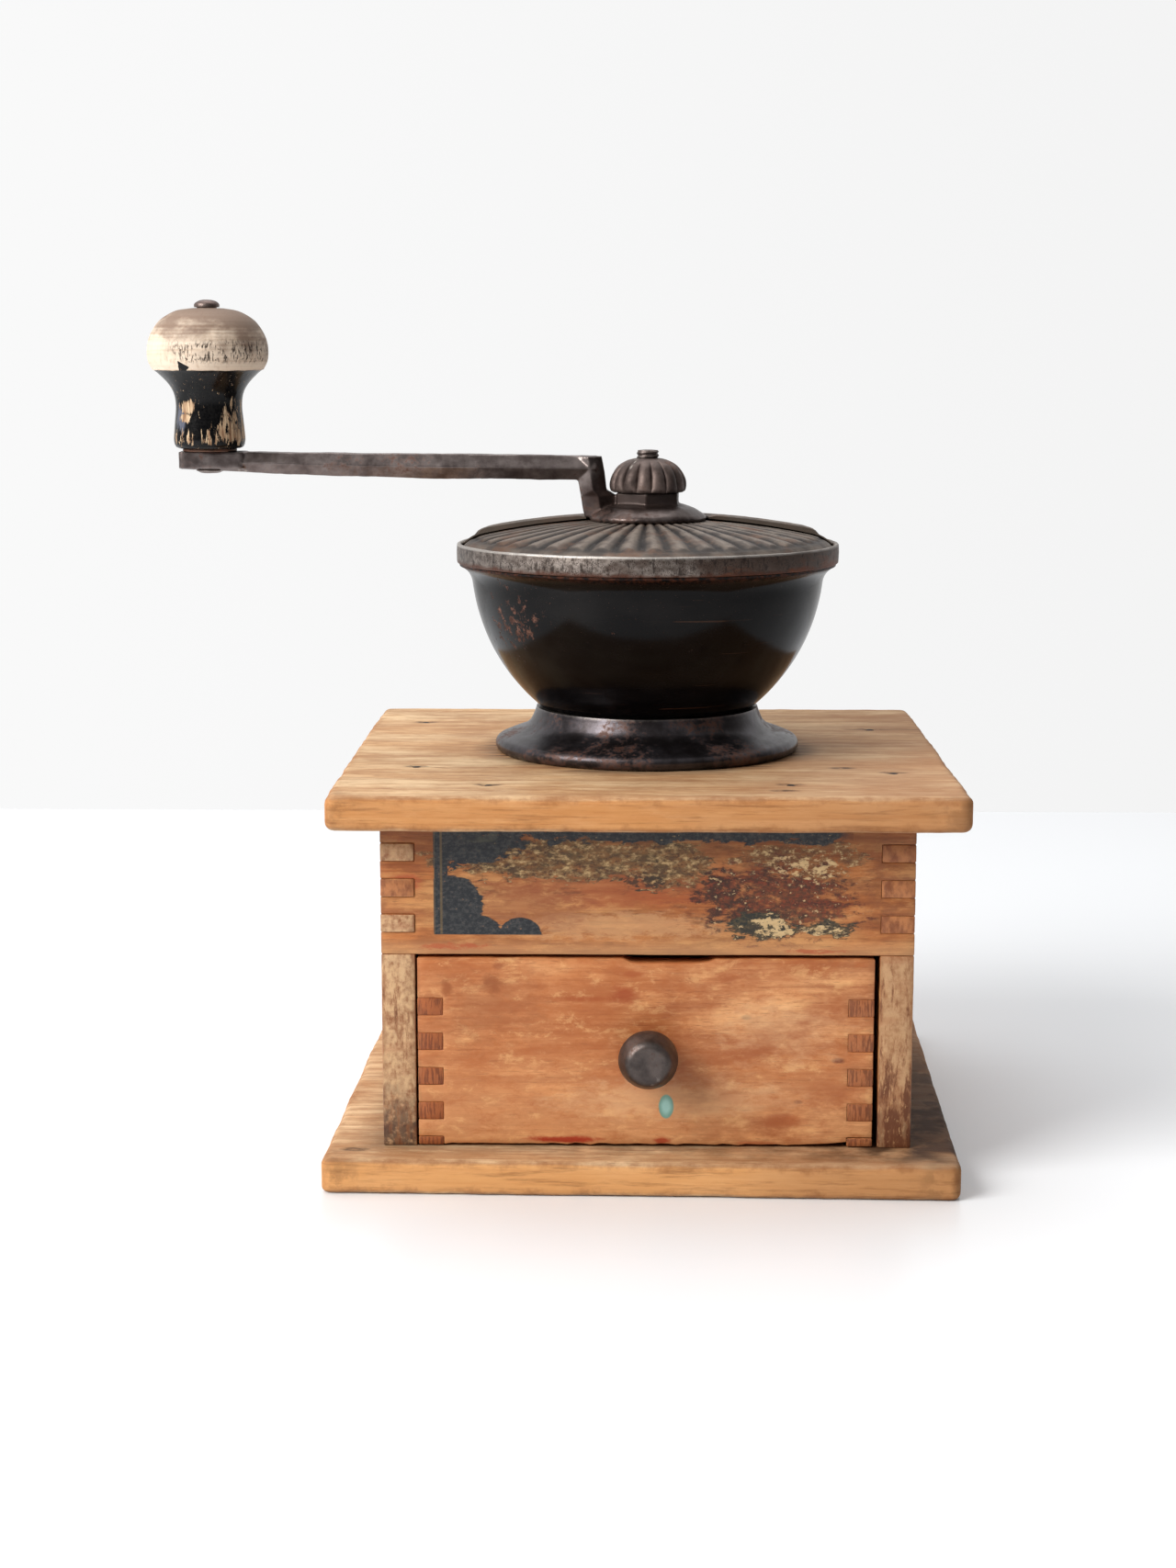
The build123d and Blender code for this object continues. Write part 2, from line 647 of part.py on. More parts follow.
# ---------------------------------------------------------------- spindle and inner burr
cone_z = ring_z
cone_top_z = neck_z - 3.5
pin_z = cone_top_z - 4.5
shank_z = hub_z - 1.5
thread_z = neck_top_z - 1.4

with BuildPart() as cone_pin:
    with BuildSketch(Plane.YZ.offset(-9.5)):
        with Locations((0, pin_z)):
            Circle(1.5)
    extrude(amount=19)
cone_pin.part.label = "cone_pin"
export_step(cone_pin.part, "parts/cone_pin.step")

with BuildPart() as spindle:
    with BuildSketch(Plane.XY.offset(bridge_bar_z - 4)):
        Circle(lower_journal)
    extrude(amount=cone_z - bridge_bar_z + 4)
    with BuildSketch(Plane.XY.offset(cone_z)):
        Circle(journal)
    extrude(amount=shank_z - cone_z)
    with BuildSketch(Plane.XY.offset(shank_z)):
        Rectangle(shank_square, shank_square)
    extrude(amount=thread_z - shank_z)
    with BuildSketch(Plane.XY.offset(thread_z)):
        Circle(thread_radius)
    extrude(amount=spindle_top_z - thread_z)
    chamfer(spindle.edges().sort_by(Axis.Z)[-1], 0.5)
    chamfer(spindle.edges().sort_by(Axis.Z)[0], 1.0)
    add(cone_pin.part, mode=Mode.SUBTRACT)
spindle.part.label = "spindle"
export_step(spindle.part, "parts/spindle.step")

with BuildPart() as grinding_cone:
    with BuildSketch(Plane.XZ):
        with BuildLine():
            Polyline((journal, cone_z), (22.2, cone_z), (22.4, cone_z + 0.8), (15.6, cone_z + 12),
                     (10.5, cone_top_z - 5), (8.8, cone_top_z), (journal, cone_top_z), (journal, cone_z))
        make_face()
    revolve(axis=Axis.Z)
    for i in range(cone_teeth):
        with BuildSketch(tooth_plane(360 / cone_teeth * i, 19.6, cone_z + 6, 0.6, -30)):
            Rectangle(1.5, 22)
        extrude(amount=-2.6, mode=Mode.SUBTRACT)
    add(cone_pin.part, mode=Mode.SUBTRACT)
grinding_cone.part.label = "grinding_cone"
export_step(grinding_cone.part, "parts/grinding_cone.step")

# ---------------------------------------------------------------- crank
arm_end_x = -crank_radius - 9.0
arm_bend_x = -17.8
arm_foot_x = -14.9
pad_z = hub_z + 20.8
pin_foot_z = pad_z - arm_pad - 1.2
pin_head_z = hub_z + 63.5

with BuildPart() as handle_pin:
    with BuildSketch(Plane.XZ):
        with BuildLine():
            Polyline((-crank_radius, pin_foot_z), (-crank_radius + 3.4, pin_foot_z),
                     (-crank_radius + 4.4, pad_z - arm_pad + 0.1),
                     (-crank_radius + pin_radius, pad_z - arm_pad + 0.1),
                     (-crank_radius + pin_radius, pin_head_z), (-crank_radius + 3.75, pin_head_z))
            ThreePointArc((-crank_radius + 3.75, pin_head_z), (-crank_radius + 2.9, pin_head_z + 1.5),
                          (-crank_radius + 0.6, pin_head_z + 2.2))
            Polyline((-crank_radius + 0.6, pin_head_z + 2.2), (-crank_radius, pin_head_z + 2.2),
                     (-crank_radius, pin_foot_z))
        make_face()
    revolve(axis=Axis((-crank_radius, 0, 0), (0, 0, 1)))
handle_pin.part.label = "handle_pin"
export_step(handle_pin.part, "parts/handle_pin.step")

with BuildPart() as crank_arm:
    with BuildLine() as arm_path:
        Polyline((arm_end_x + 1, 0, pad_z - arm_rise - 0.1), (arm_bend_x, 0, arm_z),
                 (arm_foot_x, 0, hub_z + 2.0))
    with BuildSketch(Plane(origin=arm_path.line @ 0, x_dir=(0, 1, 0), z_dir=arm_path.line % 0)):
        Polygon((arm_half, 0), (arm_half / 2, arm_rise), (-arm_half / 2, arm_rise), (-arm_half, 0),
                (-arm_half / 2, -arm_rise), (arm_half / 2, -arm_rise), align=None)
    sweep(transition=Transition.RIGHT)
    with BuildSketch(Plane.XY.offset(pad_z)):
        with Locations((arm_end_x + 10, 0)):
            Rectangle(20, 11.4)
        fillet(vertices(), 1.6)
    extrude(amount=-arm_pad)
    with BuildSketch(Plane.XZ):
        with BuildLine():
            Polyline((0, hub_z), (hub_radius, hub_z), (hub_radius + 0.3, hub_z + 0.9),
                     (hub_radius - 0.3, hub_z + 1.9))
            ThreePointArc((hub_radius - 0.3, hub_z + 1.9), (13.8, hub_z + 4.2), (9.2, hub_z + 5.3))
            Polyline((9.2, hub_z + 5.3), (0, hub_z + 5.3), (0, hub_z))
        make_face()
    revolve(axis=Axis.Z)
    with BuildSketch(Plane.XY.offset(hub_z + 4.5)):
        RegularPolygon(neck_flat / 2, 6, major_radius=False, rotation=27)
    extrude(amount=neck_top_z - hub_z - 4.5)
    with BuildSketch(Plane.XY.offset(hub_z)):
        Rectangle(shank_square + 0.14, shank_square + 0.14)
    extrude(amount=neck_top_z - hub_z, mode=Mode.SUBTRACT)
    add(handle_pin.part, mode=Mode.SUBTRACT)
crank_arm.part.label = "crank_arm"
export_step(crank_arm.part, "parts/crank_arm.step")

with BuildPart() as adjusting_nut:
    with BuildSketch(Plane.XZ):
        with BuildLine():
            Polyline((thread_radius + running_gap, nut_z), (10.6, nut_z), (11.5, nut_z + 1.0),
                     (11.5, nut_z + 3.4))
            ThreePointArc((11.5, nut_z + 3.4), (9.1, nut_z + 7.7), (4.6, nut_z + 10.1))
            Polyline((4.6, nut_z + 10.1), (thread_radius + running_gap, nut_z + 10.1),
                     (thread_radius + running_gap, nut_z))
        make_face()
    revolve(axis=Axis.Z)
    with BuildSketch(Plane.XY.offset(nut_z)):
        with PolarLocations(11.9, 15):
            Circle(0.85)
    extrude(amount=8.5, mode=Mode.SUBTRACT)
adjusting_nut.part.label = "adjusting_nut"
export_step(adjusting_nut.part, "parts/adjusting_nut.step")

# ---------------------------------------------------------------- handle knob
knob_base_z = pad_z + washer + 0.1
knob_bore = pin_radius + 0.08

with BuildPart() as knob_washer:
    with BuildSketch(Plane.XY.offset(pad_z)):
        with Locations((-crank_radius, 0)):
            Circle(washer_radius)
            Circle(pin_radius, mode=Mode.SUBTRACT)
    extrude(amount=washer)
knob_washer.part.label = "knob_washer"
export_step(knob_washer.part, "parts/knob_washer.step")

with BuildPart() as handle_knob:
    with BuildSketch(Plane.XZ.move(Location((-crank_radius, 0, 0)))):
        with BuildLine():
            Polyline((knob_bore, knob_base_z), (9.4, knob_base_z), (10.4, knob_base_z + 1.0),
                     (10.7, knob_base_z + 3.0))
            Spline((10.7, knob_base_z + 3.0), (9.9, knob_base_z + 12.8), (11.3, knob_base_z + 18.2),
                   (16.3, knob_base_z + 23.4))
            Spline((16.3, knob_base_z + 23.4), (18.1, knob_base_z + 28.8), (15.9, knob_base_z + 35.7),
                   (11.6, knob_base_z + 39.6), (4.2, knob_base_z + 41.6))
            Polyline((4.2, knob_base_z + 41.6), (knob_bore, knob_base_z + 41.6), (knob_bore, knob_base_z))
        make_face()
    revolve(axis=Axis((-crank_radius, 0, 0), (0, 0, 1)))
handle_knob.part.label = "handle_knob"
export_step(handle_knob.part, "parts/handle_knob.step")
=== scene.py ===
"""The looks of a hand crank coffee grinder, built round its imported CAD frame.

Shapes are worked out in millimetres in the CAD frame and written to Blender in metres.
Each visible part is a closed mesh that stands for its CAD node. Inner parts stay as CAD.
"""
import math

import bmesh
import bpy
import numpy as np
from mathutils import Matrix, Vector, noise


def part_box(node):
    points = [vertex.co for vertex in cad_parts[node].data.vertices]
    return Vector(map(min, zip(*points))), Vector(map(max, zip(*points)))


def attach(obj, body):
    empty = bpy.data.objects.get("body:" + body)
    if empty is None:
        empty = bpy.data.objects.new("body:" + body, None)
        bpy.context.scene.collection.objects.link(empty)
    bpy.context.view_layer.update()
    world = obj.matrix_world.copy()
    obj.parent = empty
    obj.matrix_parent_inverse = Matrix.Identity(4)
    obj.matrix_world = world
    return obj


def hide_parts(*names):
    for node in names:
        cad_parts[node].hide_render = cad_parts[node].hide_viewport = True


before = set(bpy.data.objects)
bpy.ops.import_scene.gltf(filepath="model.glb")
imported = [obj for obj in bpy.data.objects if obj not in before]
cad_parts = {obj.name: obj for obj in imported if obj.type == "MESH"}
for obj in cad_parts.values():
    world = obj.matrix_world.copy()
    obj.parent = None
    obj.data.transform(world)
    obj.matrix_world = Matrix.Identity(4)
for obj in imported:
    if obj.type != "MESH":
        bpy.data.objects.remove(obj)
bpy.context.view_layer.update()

MM = 0.001
X, Y, Z = 0, 1, 2


# ================================================================ places, from the frame
def box_mm(node):
    """Lowest and highest corner of a CAD node, in millimetres."""
    low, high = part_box(node)
    return np.array(low) / MM, np.array(high) / MM


deck_z = box_mm("top_board")[1][Z]
neck_z = box_mm("hopper_collar")[1][Z]
lip_z, dome_top_z = box_mm("lid_ring")[0][Z], box_mm("lid_ring")[1][Z]
band_radius = box_mm("lid_ring")[1][X]
collar_radius = box_mm("hopper_collar")[1][X]
hub_z = box_mm("crank_arm")[0][Z]
arm_end_x = box_mm("crank_arm")[0][X]
pad_z = box_mm("knob_washer")[0][Z]
nut_z, nut_top_z = box_mm("adjusting_nut")[0][Z], box_mm("adjusting_nut")[1][Z]
spindle_low_z, spindle_top_z = box_mm("spindle")[0][Z], box_mm("spindle")[1][Z]
knob_z, knob_top_z = box_mm("handle_knob")[0][Z], box_mm("handle_knob")[1][Z]
pin_low_z, pin_top_z = box_mm("handle_pin")[0][Z], box_mm("handle_pin")[1][Z]
crank_x = (box_mm("handle_knob")[0][X] + box_mm("handle_knob")[1][X]) / 2
face_y = box_mm("front_panel")[0][Y]
opening_z = box_mm("front_panel")[0][Z]
drawer_knob_y, drawer_knob_z = box_mm("drawer_knob")[0][Y], sum(box_mm("drawer_knob"))[Z] / 2


# ================================================================ mesh tools
def wobble(point, size, seed=0.0):
    """Smooth noise between -1 and 1 at a point in millimetres, with bumps of a given size."""
    return noise.noise(Vector((point[0] / size + seed, point[1] / size - seed, point[2] / size + 2 * seed)))


def make_piece(name, shape, body, node, coat, sharp=38):
    """A mesh object from (points, faces) that rides on a body and stands for a CAD node."""
    points, faces = shape
    mesh = bpy.data.meshes.new(name)
    mesh.from_pydata([[c * MM for c in p] for p in points], [], faces)
    tidy = bmesh.new()
    tidy.from_mesh(mesh)
    bmesh.ops.remove_doubles(tidy, verts=tidy.verts, dist=1e-7)
    bmesh.ops.recalc_face_normals(tidy, faces=tidy.faces)
    tidy.to_mesh(mesh)
    tidy.free()
    piece = bpy.data.objects.new(name, mesh)
    bpy.context.collection.objects.link(piece)
    mesh.materials.append(coat.material)
    shade(mesh, sharp)
    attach(piece, body)
    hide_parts(node)
    return piece


def shade(mesh, sharp):
    """Smooth shading, except across edges sharper than an angle in degrees."""
    mesh.polygons.foreach_set("use_smooth", [True] * len(mesh.polygons))
    mesh.set_sharp_from_angle(angle=math.radians(sharp))


def roughen(piece, layers, seed=0.0):
    """Moves each vertex along its normal by layers of noise, each (depth, bump size) in millimetres."""
    mesh = piece.data
    normals = [vertex.normal.copy() for vertex in mesh.vertices]
    for vertex, normal in zip(mesh.vertices, normals):
        place = vertex.co / MM
        vertex.co += normal * MM * sum(depth * wobble(place, size, seed + depth) for depth, size in layers)
    mesh.update()


def reshape(piece, move):
    """Applies a function from one place to another, in millimetres, to each vertex."""
    for vertex in piece.data.vertices:
        vertex.co = Vector(move(*(vertex.co / MM))) * MM
    piece.data.update()


def bevel_arrises(piece, width, steps=2):
    """Rounds every arris of a piece by a width in millimetres."""
    mesh = piece.data
    work = bmesh.new()
    work.from_mesh(mesh)
    arrises = [e for e in work.edges if len(e.link_faces) == 2 and e.calc_face_angle() > 0.9]
    bmesh.ops.bevel(work, geom=arrises, offset=width * MM, segments=steps, profile=0.5,
                    affect="EDGES", clamp_overlap=True)
    work.to_mesh(mesh)
    work.free()


def arc(start, middle, end, steps):
    """Points of the circle through three points, both ends included."""
    (ax, ay), (bx, by), (cx, cy) = start, middle, end
    d = 2 * (ax * (by - cy) + bx * (cy - ay) + cx * (ay - by))
    ux = ((ax**2 + ay**2) * (by - cy) + (bx**2 + by**2) * (cy - ay) + (cx**2 + cy**2) * (ay - by)) / d
    uy = ((ax**2 + ay**2) * (cx - bx) + (bx**2 + by**2) * (ax - cx) + (cx**2 + cy**2) * (bx - ax)) / d
    radius = math.hypot(ax - ux, ay - uy)
    first, via, last = (math.atan2(p[1] - uy, p[0] - ux) for p in (start, middle, end))
    turn, half = (last - first) % math.tau, (via - first) % math.tau
    if half > turn:
        turn -= math.tau
    angles = [first + turn * i / steps for i in range(steps + 1)]
    return [(ux + radius * math.cos(angle), uy + radius * math.sin(angle)) for angle in angles]


def moved(origin, *points):
    """Points of a profile that are given from an origin."""
    return [(origin[0] + u, origin[1] + v) for u, v in points]


def curve(points, steps=6):
    """A smooth line through points (Catmull-Rom), both ends included."""
    padded = [points[0], *points, points[-1]]
    line = []
    for i in range(1, len(padded) - 2):
        p0, p1, p2, p3 = (np.array(p, float) for p in padded[i - 1:i + 3])
        for k in range(steps):
            t = k / steps
            line.append(tuple(0.5 * (2 * p1 + (p2 - p0) * t + (2 * p0 - 5 * p1 + 4 * p2 - p3) * t**2
                                     + (3 * p1 - p0 - 3 * p2 + p3) * t**3)))
    return [*line, tuple(points[-1])]


def soften(profile, radius, steps=3, closed=True):
    """Rounds the corners of a profile: each becomes a short curve that starts a radius before it."""
    count, line = len(profile), []
    for i, corner in enumerate(profile):
        if not closed and i in (0, count - 1):
            line.append(corner)
            continue
        here = np.array(corner, float)
        before = np.array(profile[i - 1], float) - here
        after = np.array(profile[(i + 1) % count], float) - here
        reach = min(radius, 0.45 * np.linalg.norm(before), 0.45 * np.linalg.norm(after))
        a = here + before / np.linalg.norm(before) * reach
        b = here + after / np.linalg.norm(after) * reach
        for k in range(steps + 1):
            t = k / steps
            line.append(tuple((1 - t)**2 * a + 2 * t * (1 - t) * here + t**2 * b))
    return line


def lathe(profile, segments=144, centre=(0.0, 0.0), closed=True, radius_at=None):
    """Points and faces of a (radius, height) profile turned about a vertical axis."""
    points, rings, faces = [], [], []
    for radius, height in profile:
        if radius < 1e-6:
            rings.append([len(points)] * segments)
            points.append((centre[0], centre[1], height))
            continue
        rings.append(range(len(points), len(points) + segments))
        for i in range(segments):
            angle = math.tau * i / segments
            r = radius_at(radius, height, angle) if radius_at else radius
            points.append((centre[0] + r * math.cos(angle), centre[1] + r * math.sin(angle), height))
    pairs = list(zip(rings, rings[1:]))
    if closed:
        pairs.append((rings[-1], rings[0]))
    for lower, upper in pairs:
        for i in range(segments):
            j = (i + 1) % segments
            corners = list(dict.fromkeys((lower[i], lower[j], upper[j], upper[i])))
            if len(corners) > 2:
                faces.append(corners)
    return points, faces


def merge(*shapes):
    """Several shells as one list of points and faces."""
    points, faces = [], []
    for more, skin in shapes:
        faces.extend([[i + len(points) for i in face] for face in skin])
        points.extend(more)
    return points, faces


def block(lines, solid=None):
    """A closed block on a grid of X, Y and Z lines; solid(x, y, z) says which cells are filled."""
    counts = [len(line) - 1 for line in lines]
    middles = [(line[:-1] + line[1:]) / 2 for line in lines]
    filled = np.zeros([c + 2 for c in counts], bool)
    for cell in np.ndindex(*counts):
        filled[cell[0] + 1, cell[1] + 1, cell[2] + 1] = (
            solid is None or solid(*(middles[a][cell[a]] for a in range(3))))
    points, index, faces = [], {}, []

    def corner(key):
        if key not in index:
            index[key] = len(points)
            points.append(tuple(lines[a][key[a]] for a in range(3)))
        return index[key]

    for axis in range(3):
        u, v = (axis + 1) % 3, (axis + 2) % 3
        before = np.roll(filled, 1, axis)
        for cell in np.argwhere(filled != before):
            key = [int(c) - 1 for c in cell]
            quad = []
            for du, dv in ((0, 0), (1, 0), (1, 1), (0, 1)):
                at = list(key)
                at[u] += du
                at[v] += dv
                quad.append(corner(tuple(at)))
            faces.append(quad if not filled[tuple(cell)] else quad[::-1])
    return points, faces


def spread(low, high, step, breaks=(), margin=()):
    """Grid lines from low to high: at the ends, at the breaks, near the ends, and about a step apart."""
    fixed = sorted({low, high, *breaks, *(low + m for m in margin), *(high - m for m in margin)})
    lines = []
    for a, b in zip(fixed, fixed[1:]):
        count = max(1, round((b - a) / step))
        lines.extend(np.linspace(a, b, count, endpoint=False))
    return np.array([*lines, high])


def slab(low, high, corner, arris, seed, dents=()):
    """A worn board: a grid with rounded corners and arrises that vary along their length."""
    margin = [part * corner for part in (0.12, 0.3, 0.52, 0.78, 1.1, 1.6)]
    fine = [dent + step for dent in dents for step in (-3.0, -2.0, -1.0, 0.0, 1.0, 2.0, 3.0)]
    lines = [spread(low[axis], high[axis], 2.4, fine, margin) for axis in (X, Y)]
    lines.append(spread(low[Z], high[Z], 1.3, (), [part * arris for part in (0.12, 0.35, 0.7, 1.15)]))
    points, faces = block(lines)
    worn = []
    for x, y, z in points:
        cx = min(max(x, low[X] + corner), high[X] - corner)
        cy = min(max(y, low[Y] + corner), high[Y] - corner)
        dx, dy = x - cx, y - cy
        reach = max(abs(dx), abs(dy))
        side = corner - reach
        depth, top = min((high[Z] - z, True), (z - low[Z], False))
        uneven = 1 + 0.45 * wobble((x, y, 9 * top), 22, seed) + 0.25 * wobble((x, y, z), 5, seed)
        worn_arris = min(arris * uneven, corner * 0.98)
        if side < worn_arris and depth < worn_arris:
            a, b = worn_arris - side, worn_arris - depth
            scale = max(a, b) / math.hypot(a, b)
            side, depth = worn_arris - a * scale, worn_arris - b * scale
        if reach > 0:
            scale = (corner - side) / math.hypot(dx, dy)
            x, y = cx + dx * scale, cy + dy * scale
        z = high[Z] - depth if top else low[Z] + depth
        worn.append((x, y, z))
    return worn, faces


# ================================================================ material tools
def tone(red, green, blue):
    """A colour given as the screen shows it, 0 to 255, as Blender's linear colour."""
    shown = [c / 255 for c in (red, green, blue)]
    return (*(c / 12.92 if c <= 0.04 else ((c + 0.055) / 1.055) ** 2.4 for c in shown), 1.0)


class Value:
    """A number worked out at each point of a surface. Arithmetic on it adds nodes."""

    def __init__(self, coat, socket):
        self.coat, self.socket = coat, socket

    def __add__(self, other):
        return self.coat.math("ADD", self, other)

    def __sub__(self, other):
        return self.coat.math("SUBTRACT", self, other)

    def __rsub__(self, other):
        return self.coat.math("SUBTRACT", other, self)

    def __mul__(self, other):
        return self.coat.math("MULTIPLY", self, other)

    __radd__, __rmul__ = __add__, __mul__

    def power(self, exponent):
        return self.coat.math("POWER", self, exponent)

    def least(self, other):
        return self.coat.math("MINIMUM", self, other)

    def most(self, other):
        return self.coat.math("MAXIMUM", self, other)

    def size(self):
        return self.coat.math("ABSOLUTE", self)

    def fraction(self):
        return self.coat.math("FRACT", self)

    def sine(self):
        return self.coat.math("SINE", self)

    def smooth(self, low, high):
        """Rises smoothly from 0 at low to 1 at high, or falls if low is the higher."""
        if low > high:
            return 1 - self.smooth(high, low)
        node = self.coat.add("ShaderNodeMapRange", interpolation_type="SMOOTHSTEP")
        self.coat.put(node, "Value", self)
        self.coat.put(node, "From Min", low)
        self.coat.put(node, "From Max", high)
        return Value(self.coat, node.outputs["Result"])


def span(across, along):
    """Length of the diagonal of two Values."""
    return (across * across + along * along).power(0.5)


class Coat:
    """One material. Its calls add nodes that work in millimetres of the object's own space."""

    def __init__(self, name):
        self.material = bpy.data.materials.new(name)
        self.material.use_nodes = True
        self.tree = self.material.node_tree
        self.shader = self.tree.nodes["Principled BSDF"]
        coords = self.add("ShaderNodeTexCoord")
        scale = self.add("ShaderNodeVectorMath", operation="SCALE")
        self.put(scale, 0, coords.outputs["Object"])
        self.put(scale, "Scale", 1 / MM)
        self.place = scale.outputs[0]
        self.x, self.y, self.z = self.split(self.place)
        self.normal = self.split(coords.outputs["Normal"])
        self.colour = None

    def add(self, kind, **settings):
        node = self.tree.nodes.new(kind)
        for name, value in settings.items():
            setattr(node, name, value)
        return node

    def put(self, node, name, value):
        socket = node.inputs[name]
        if isinstance(value, Value):
            value = value.socket
        if isinstance(value, bpy.types.NodeSocket):
            self.tree.links.new(value, socket)
        else:
            socket.default_value = value

    def split(self, vector):
        node = self.add("ShaderNodeSeparateXYZ")
        self.tree.links.new(vector, node.inputs[0])
        return [Value(self, node.outputs[i]) for i in range(3)]

    def math(self, operation, first, second=None):
        node = self.add("ShaderNodeMath", operation=operation)
        self.put(node, 0, first)
        if second is not None:
            self.put(node, 1, second)
        return Value(self, node.outputs[0])

    def scaled(self, size, place):
        """Places in units of a size in millimetres, or of one size for each axis, moved by a place."""
        sizes = size if isinstance(size, tuple) else (size,) * 3
        node = self.add("ShaderNodeMapping")
        self.put(node, "Vector", self.place)
        self.put(node, "Scale", [1 / s for s in sizes])
        self.put(node, "Location", place)
        return node.outputs[0]

    def noise(self, size, detail=3.0, rough=0.5, shift=0.0, warp=0.0):
        """Noise from 0 to 1 with bumps of a size in millimetres, or one size for each axis."""
        node = self.add("ShaderNodeTexNoise")
        self.put(node, "Vector", self.scaled(size, (shift, -shift * 1.7, shift * 2.3)))
        for name, value in (("Scale", 1.0), ("Detail", detail), ("Roughness", rough), ("Distortion", warp)):
            self.put(node, name, value)
        return Value(self, node.outputs[0])

    def cells(self, size, shift=0.0):
        """Distance to the nearest of scattered points, in cells of a size in millimetres."""
        node = self.add("ShaderNodeTexVoronoi", feature="F1")
        self.put(node, "Vector", self.scaled(size, (shift, shift * 1.3, -shift)))
        return Value(self, node.outputs["Distance"])

    def mix(self, amount, first, second):
        """A colour between two others."""
        node = self.add("ShaderNodeMix", data_type="RGBA")
        self.put(node, 0, amount)
        self.put(node, 6, first)
        self.put(node, 7, second)
        return node.outputs[2]

    def lay(self, amount, *over):
        """Covers the coat's colour, where amount is 1, with a tone (three numbers) or another colour."""
        self.colour = self.mix(amount, self.colour, tone(*over) if len(over) == 3 else over[0])

    def oval(self, u, v, centre, radii):
        """1 at a centre, 0 on an oval round it and below 0 outside."""
        return 1 - span((u - centre[0]) * (1 / radii[0]), (v - centre[1]) * (1 / radii[1]))

    def oblong(self, u, v, low_u, high_u, low_v, high_v):
        """Distance inside the nearest side of a rectangle, below 0 outside."""
        return (u - low_u).least(high_u - u).least((v - low_v).least(high_v - v))

    def edge_gap(self, low, high):
        """Distance to the nearest arris, on the faces of a box."""
        a, b, c = ((high[i] - low[i]) / 2 - (p - (high[i] + low[i]) / 2).size()
                   for i, p in enumerate((self.x, self.y, self.z)))
        return a.least(b).most(a.most(b).least(c))

    def pointed(self):
        """1 on sharp outer edges and 0 in creases; 0.5 on plain surfaces."""
        return Value(self, self.add("ShaderNodeNewGeometry").outputs["Pointiness"])

    def finish(self, rough, metal=0.0, relief=None, depth=0.1, **uniform):
        """Connects the results; relief is a height from 0 to 1 and depth its size in millimetres."""
        self.put(self.shader, "Base Color", self.colour)
        self.put(self.shader, "Roughness", rough)
        self.put(self.shader, "Metallic", metal)
        if relief is not None:
            bump = self.add("ShaderNodeBump")
            self.put(bump, "Distance", depth * MM)
            self.put(bump, "Strength", 1.0)
            self.put(bump, "Height", relief)
            self.put(self.shader, "Normal", bump.outputs[0])
        for name, value in uniform.items():
            self.put(self.shader, name.replace("_", " "), value)
        return self


# ================================================================ wood
class Grain:
    """Rings, fibres and pores of a board whose grain runs along one axis, round a pith line."""

    def __init__(self, coat, axis, pith, ring, slope=0.0, sway=5.0, shift=0.0):
        ways = [coat.x, coat.y, coat.z]
        along = ways.pop(axis)

        def sizes(length, width):
            return tuple(length if i == axis else width for i in range(3))

        wander = coat.noise(sizes(70, 16), 2, shift=shift) - 0.5
        a = ways[0] - pith[0] + along * slope
        b = ways[1] - pith[1]
        radius = span(a, b) + wander * (2 * sway)
        phase = (radius * (1 / ring)).fraction()
        self.late = phase.smooth(0.25, 0.85) * phase.smooth(1.0, 0.9)
        self.fibre = coat.noise(sizes(38, 0.8), 4, 0.6, shift + 3)
        self.streak = coat.noise(sizes(90, 3.2), 3, 0.55, shift + 7)
        self.pore = coat.noise(sizes(5.0, 0.32), 2, 0.5, shift + 11).smooth(0.62, 0.72)
        self.patch = coat.noise(sizes(45, 17), 3, 0.6, shift + 17)
        self.dirt = coat.noise(sizes(16, 7), 6, 0.66, shift + 29)
        self.cloud = coat.noise(sizes(34, 20), 5, 0.60, shift + 37)
        self.mottle = coat.noise(sizes(11, 2.6), 6, 0.74, shift + 43)
        self.cut = coat.normal[axis].size().smooth(0.55, 0.85)
        self.speck = coat.noise(1.6, 4, 0.6, shift + 23)
        self.layer = coat.noise((2.4, 2.4, 5.0), 4, 0.6, shift + 41)


def plain_wood(coat, grain, light, mid, dark, bold=1.0, end=None):
    """Gives a coat the colour of bare old wood: rings, streaks, pores, handling dirt and end grain."""
    coat.colour = coat.mix(grain.patch.smooth(0.34, 0.66), light, mid)
    coat.lay(grain.streak.smooth(0.42, 0.74) * (0.6 * bold), dark)
    coat.lay(grain.late * (0.35 * bold) * (0.5 + grain.fibre), dark)
    coat.lay(grain.fibre.smooth(0.46, 0.72) * (0.45 * bold), dark)
    coat.lay(grain.fibre.smooth(0.46, 0.28) * (0.25 * bold), light)
    coat.lay(grain.pore * (0.5 * bold), 80, 48, 30)
    coat.lay(grain.cloud.smooth(0.42, 0.68) * 0.45, dark)
    coat.lay(grain.dirt.smooth(0.52, 0.74) * 0.40, dark)
    coat.lay(grain.dirt.smooth(0.62, 0.80) * 0.45, 84, 54, 36)
    coat.lay(grain.mottle.smooth(0.49, 0.60) * (0.42 * bold), dark)
    coat.lay(grain.mottle.smooth(0.47, 0.37) * (0.40 * bold), light)
    if end is not None:
        cut = coat.mix((grain.speck * 0.5 + grain.layer * 0.5).smooth(0.40, 0.72), end, dark)
        coat.lay(grain.cut * 0.85, cut)


def wood_relief(grain):
    """Height of bare wood: fibres stand, pores and end grain sink."""
    return grain.fibre * 0.45 + (1 - grain.pore) * 0.3 + grain.speck * grain.cut * 0.4 + grain.late * 0.15


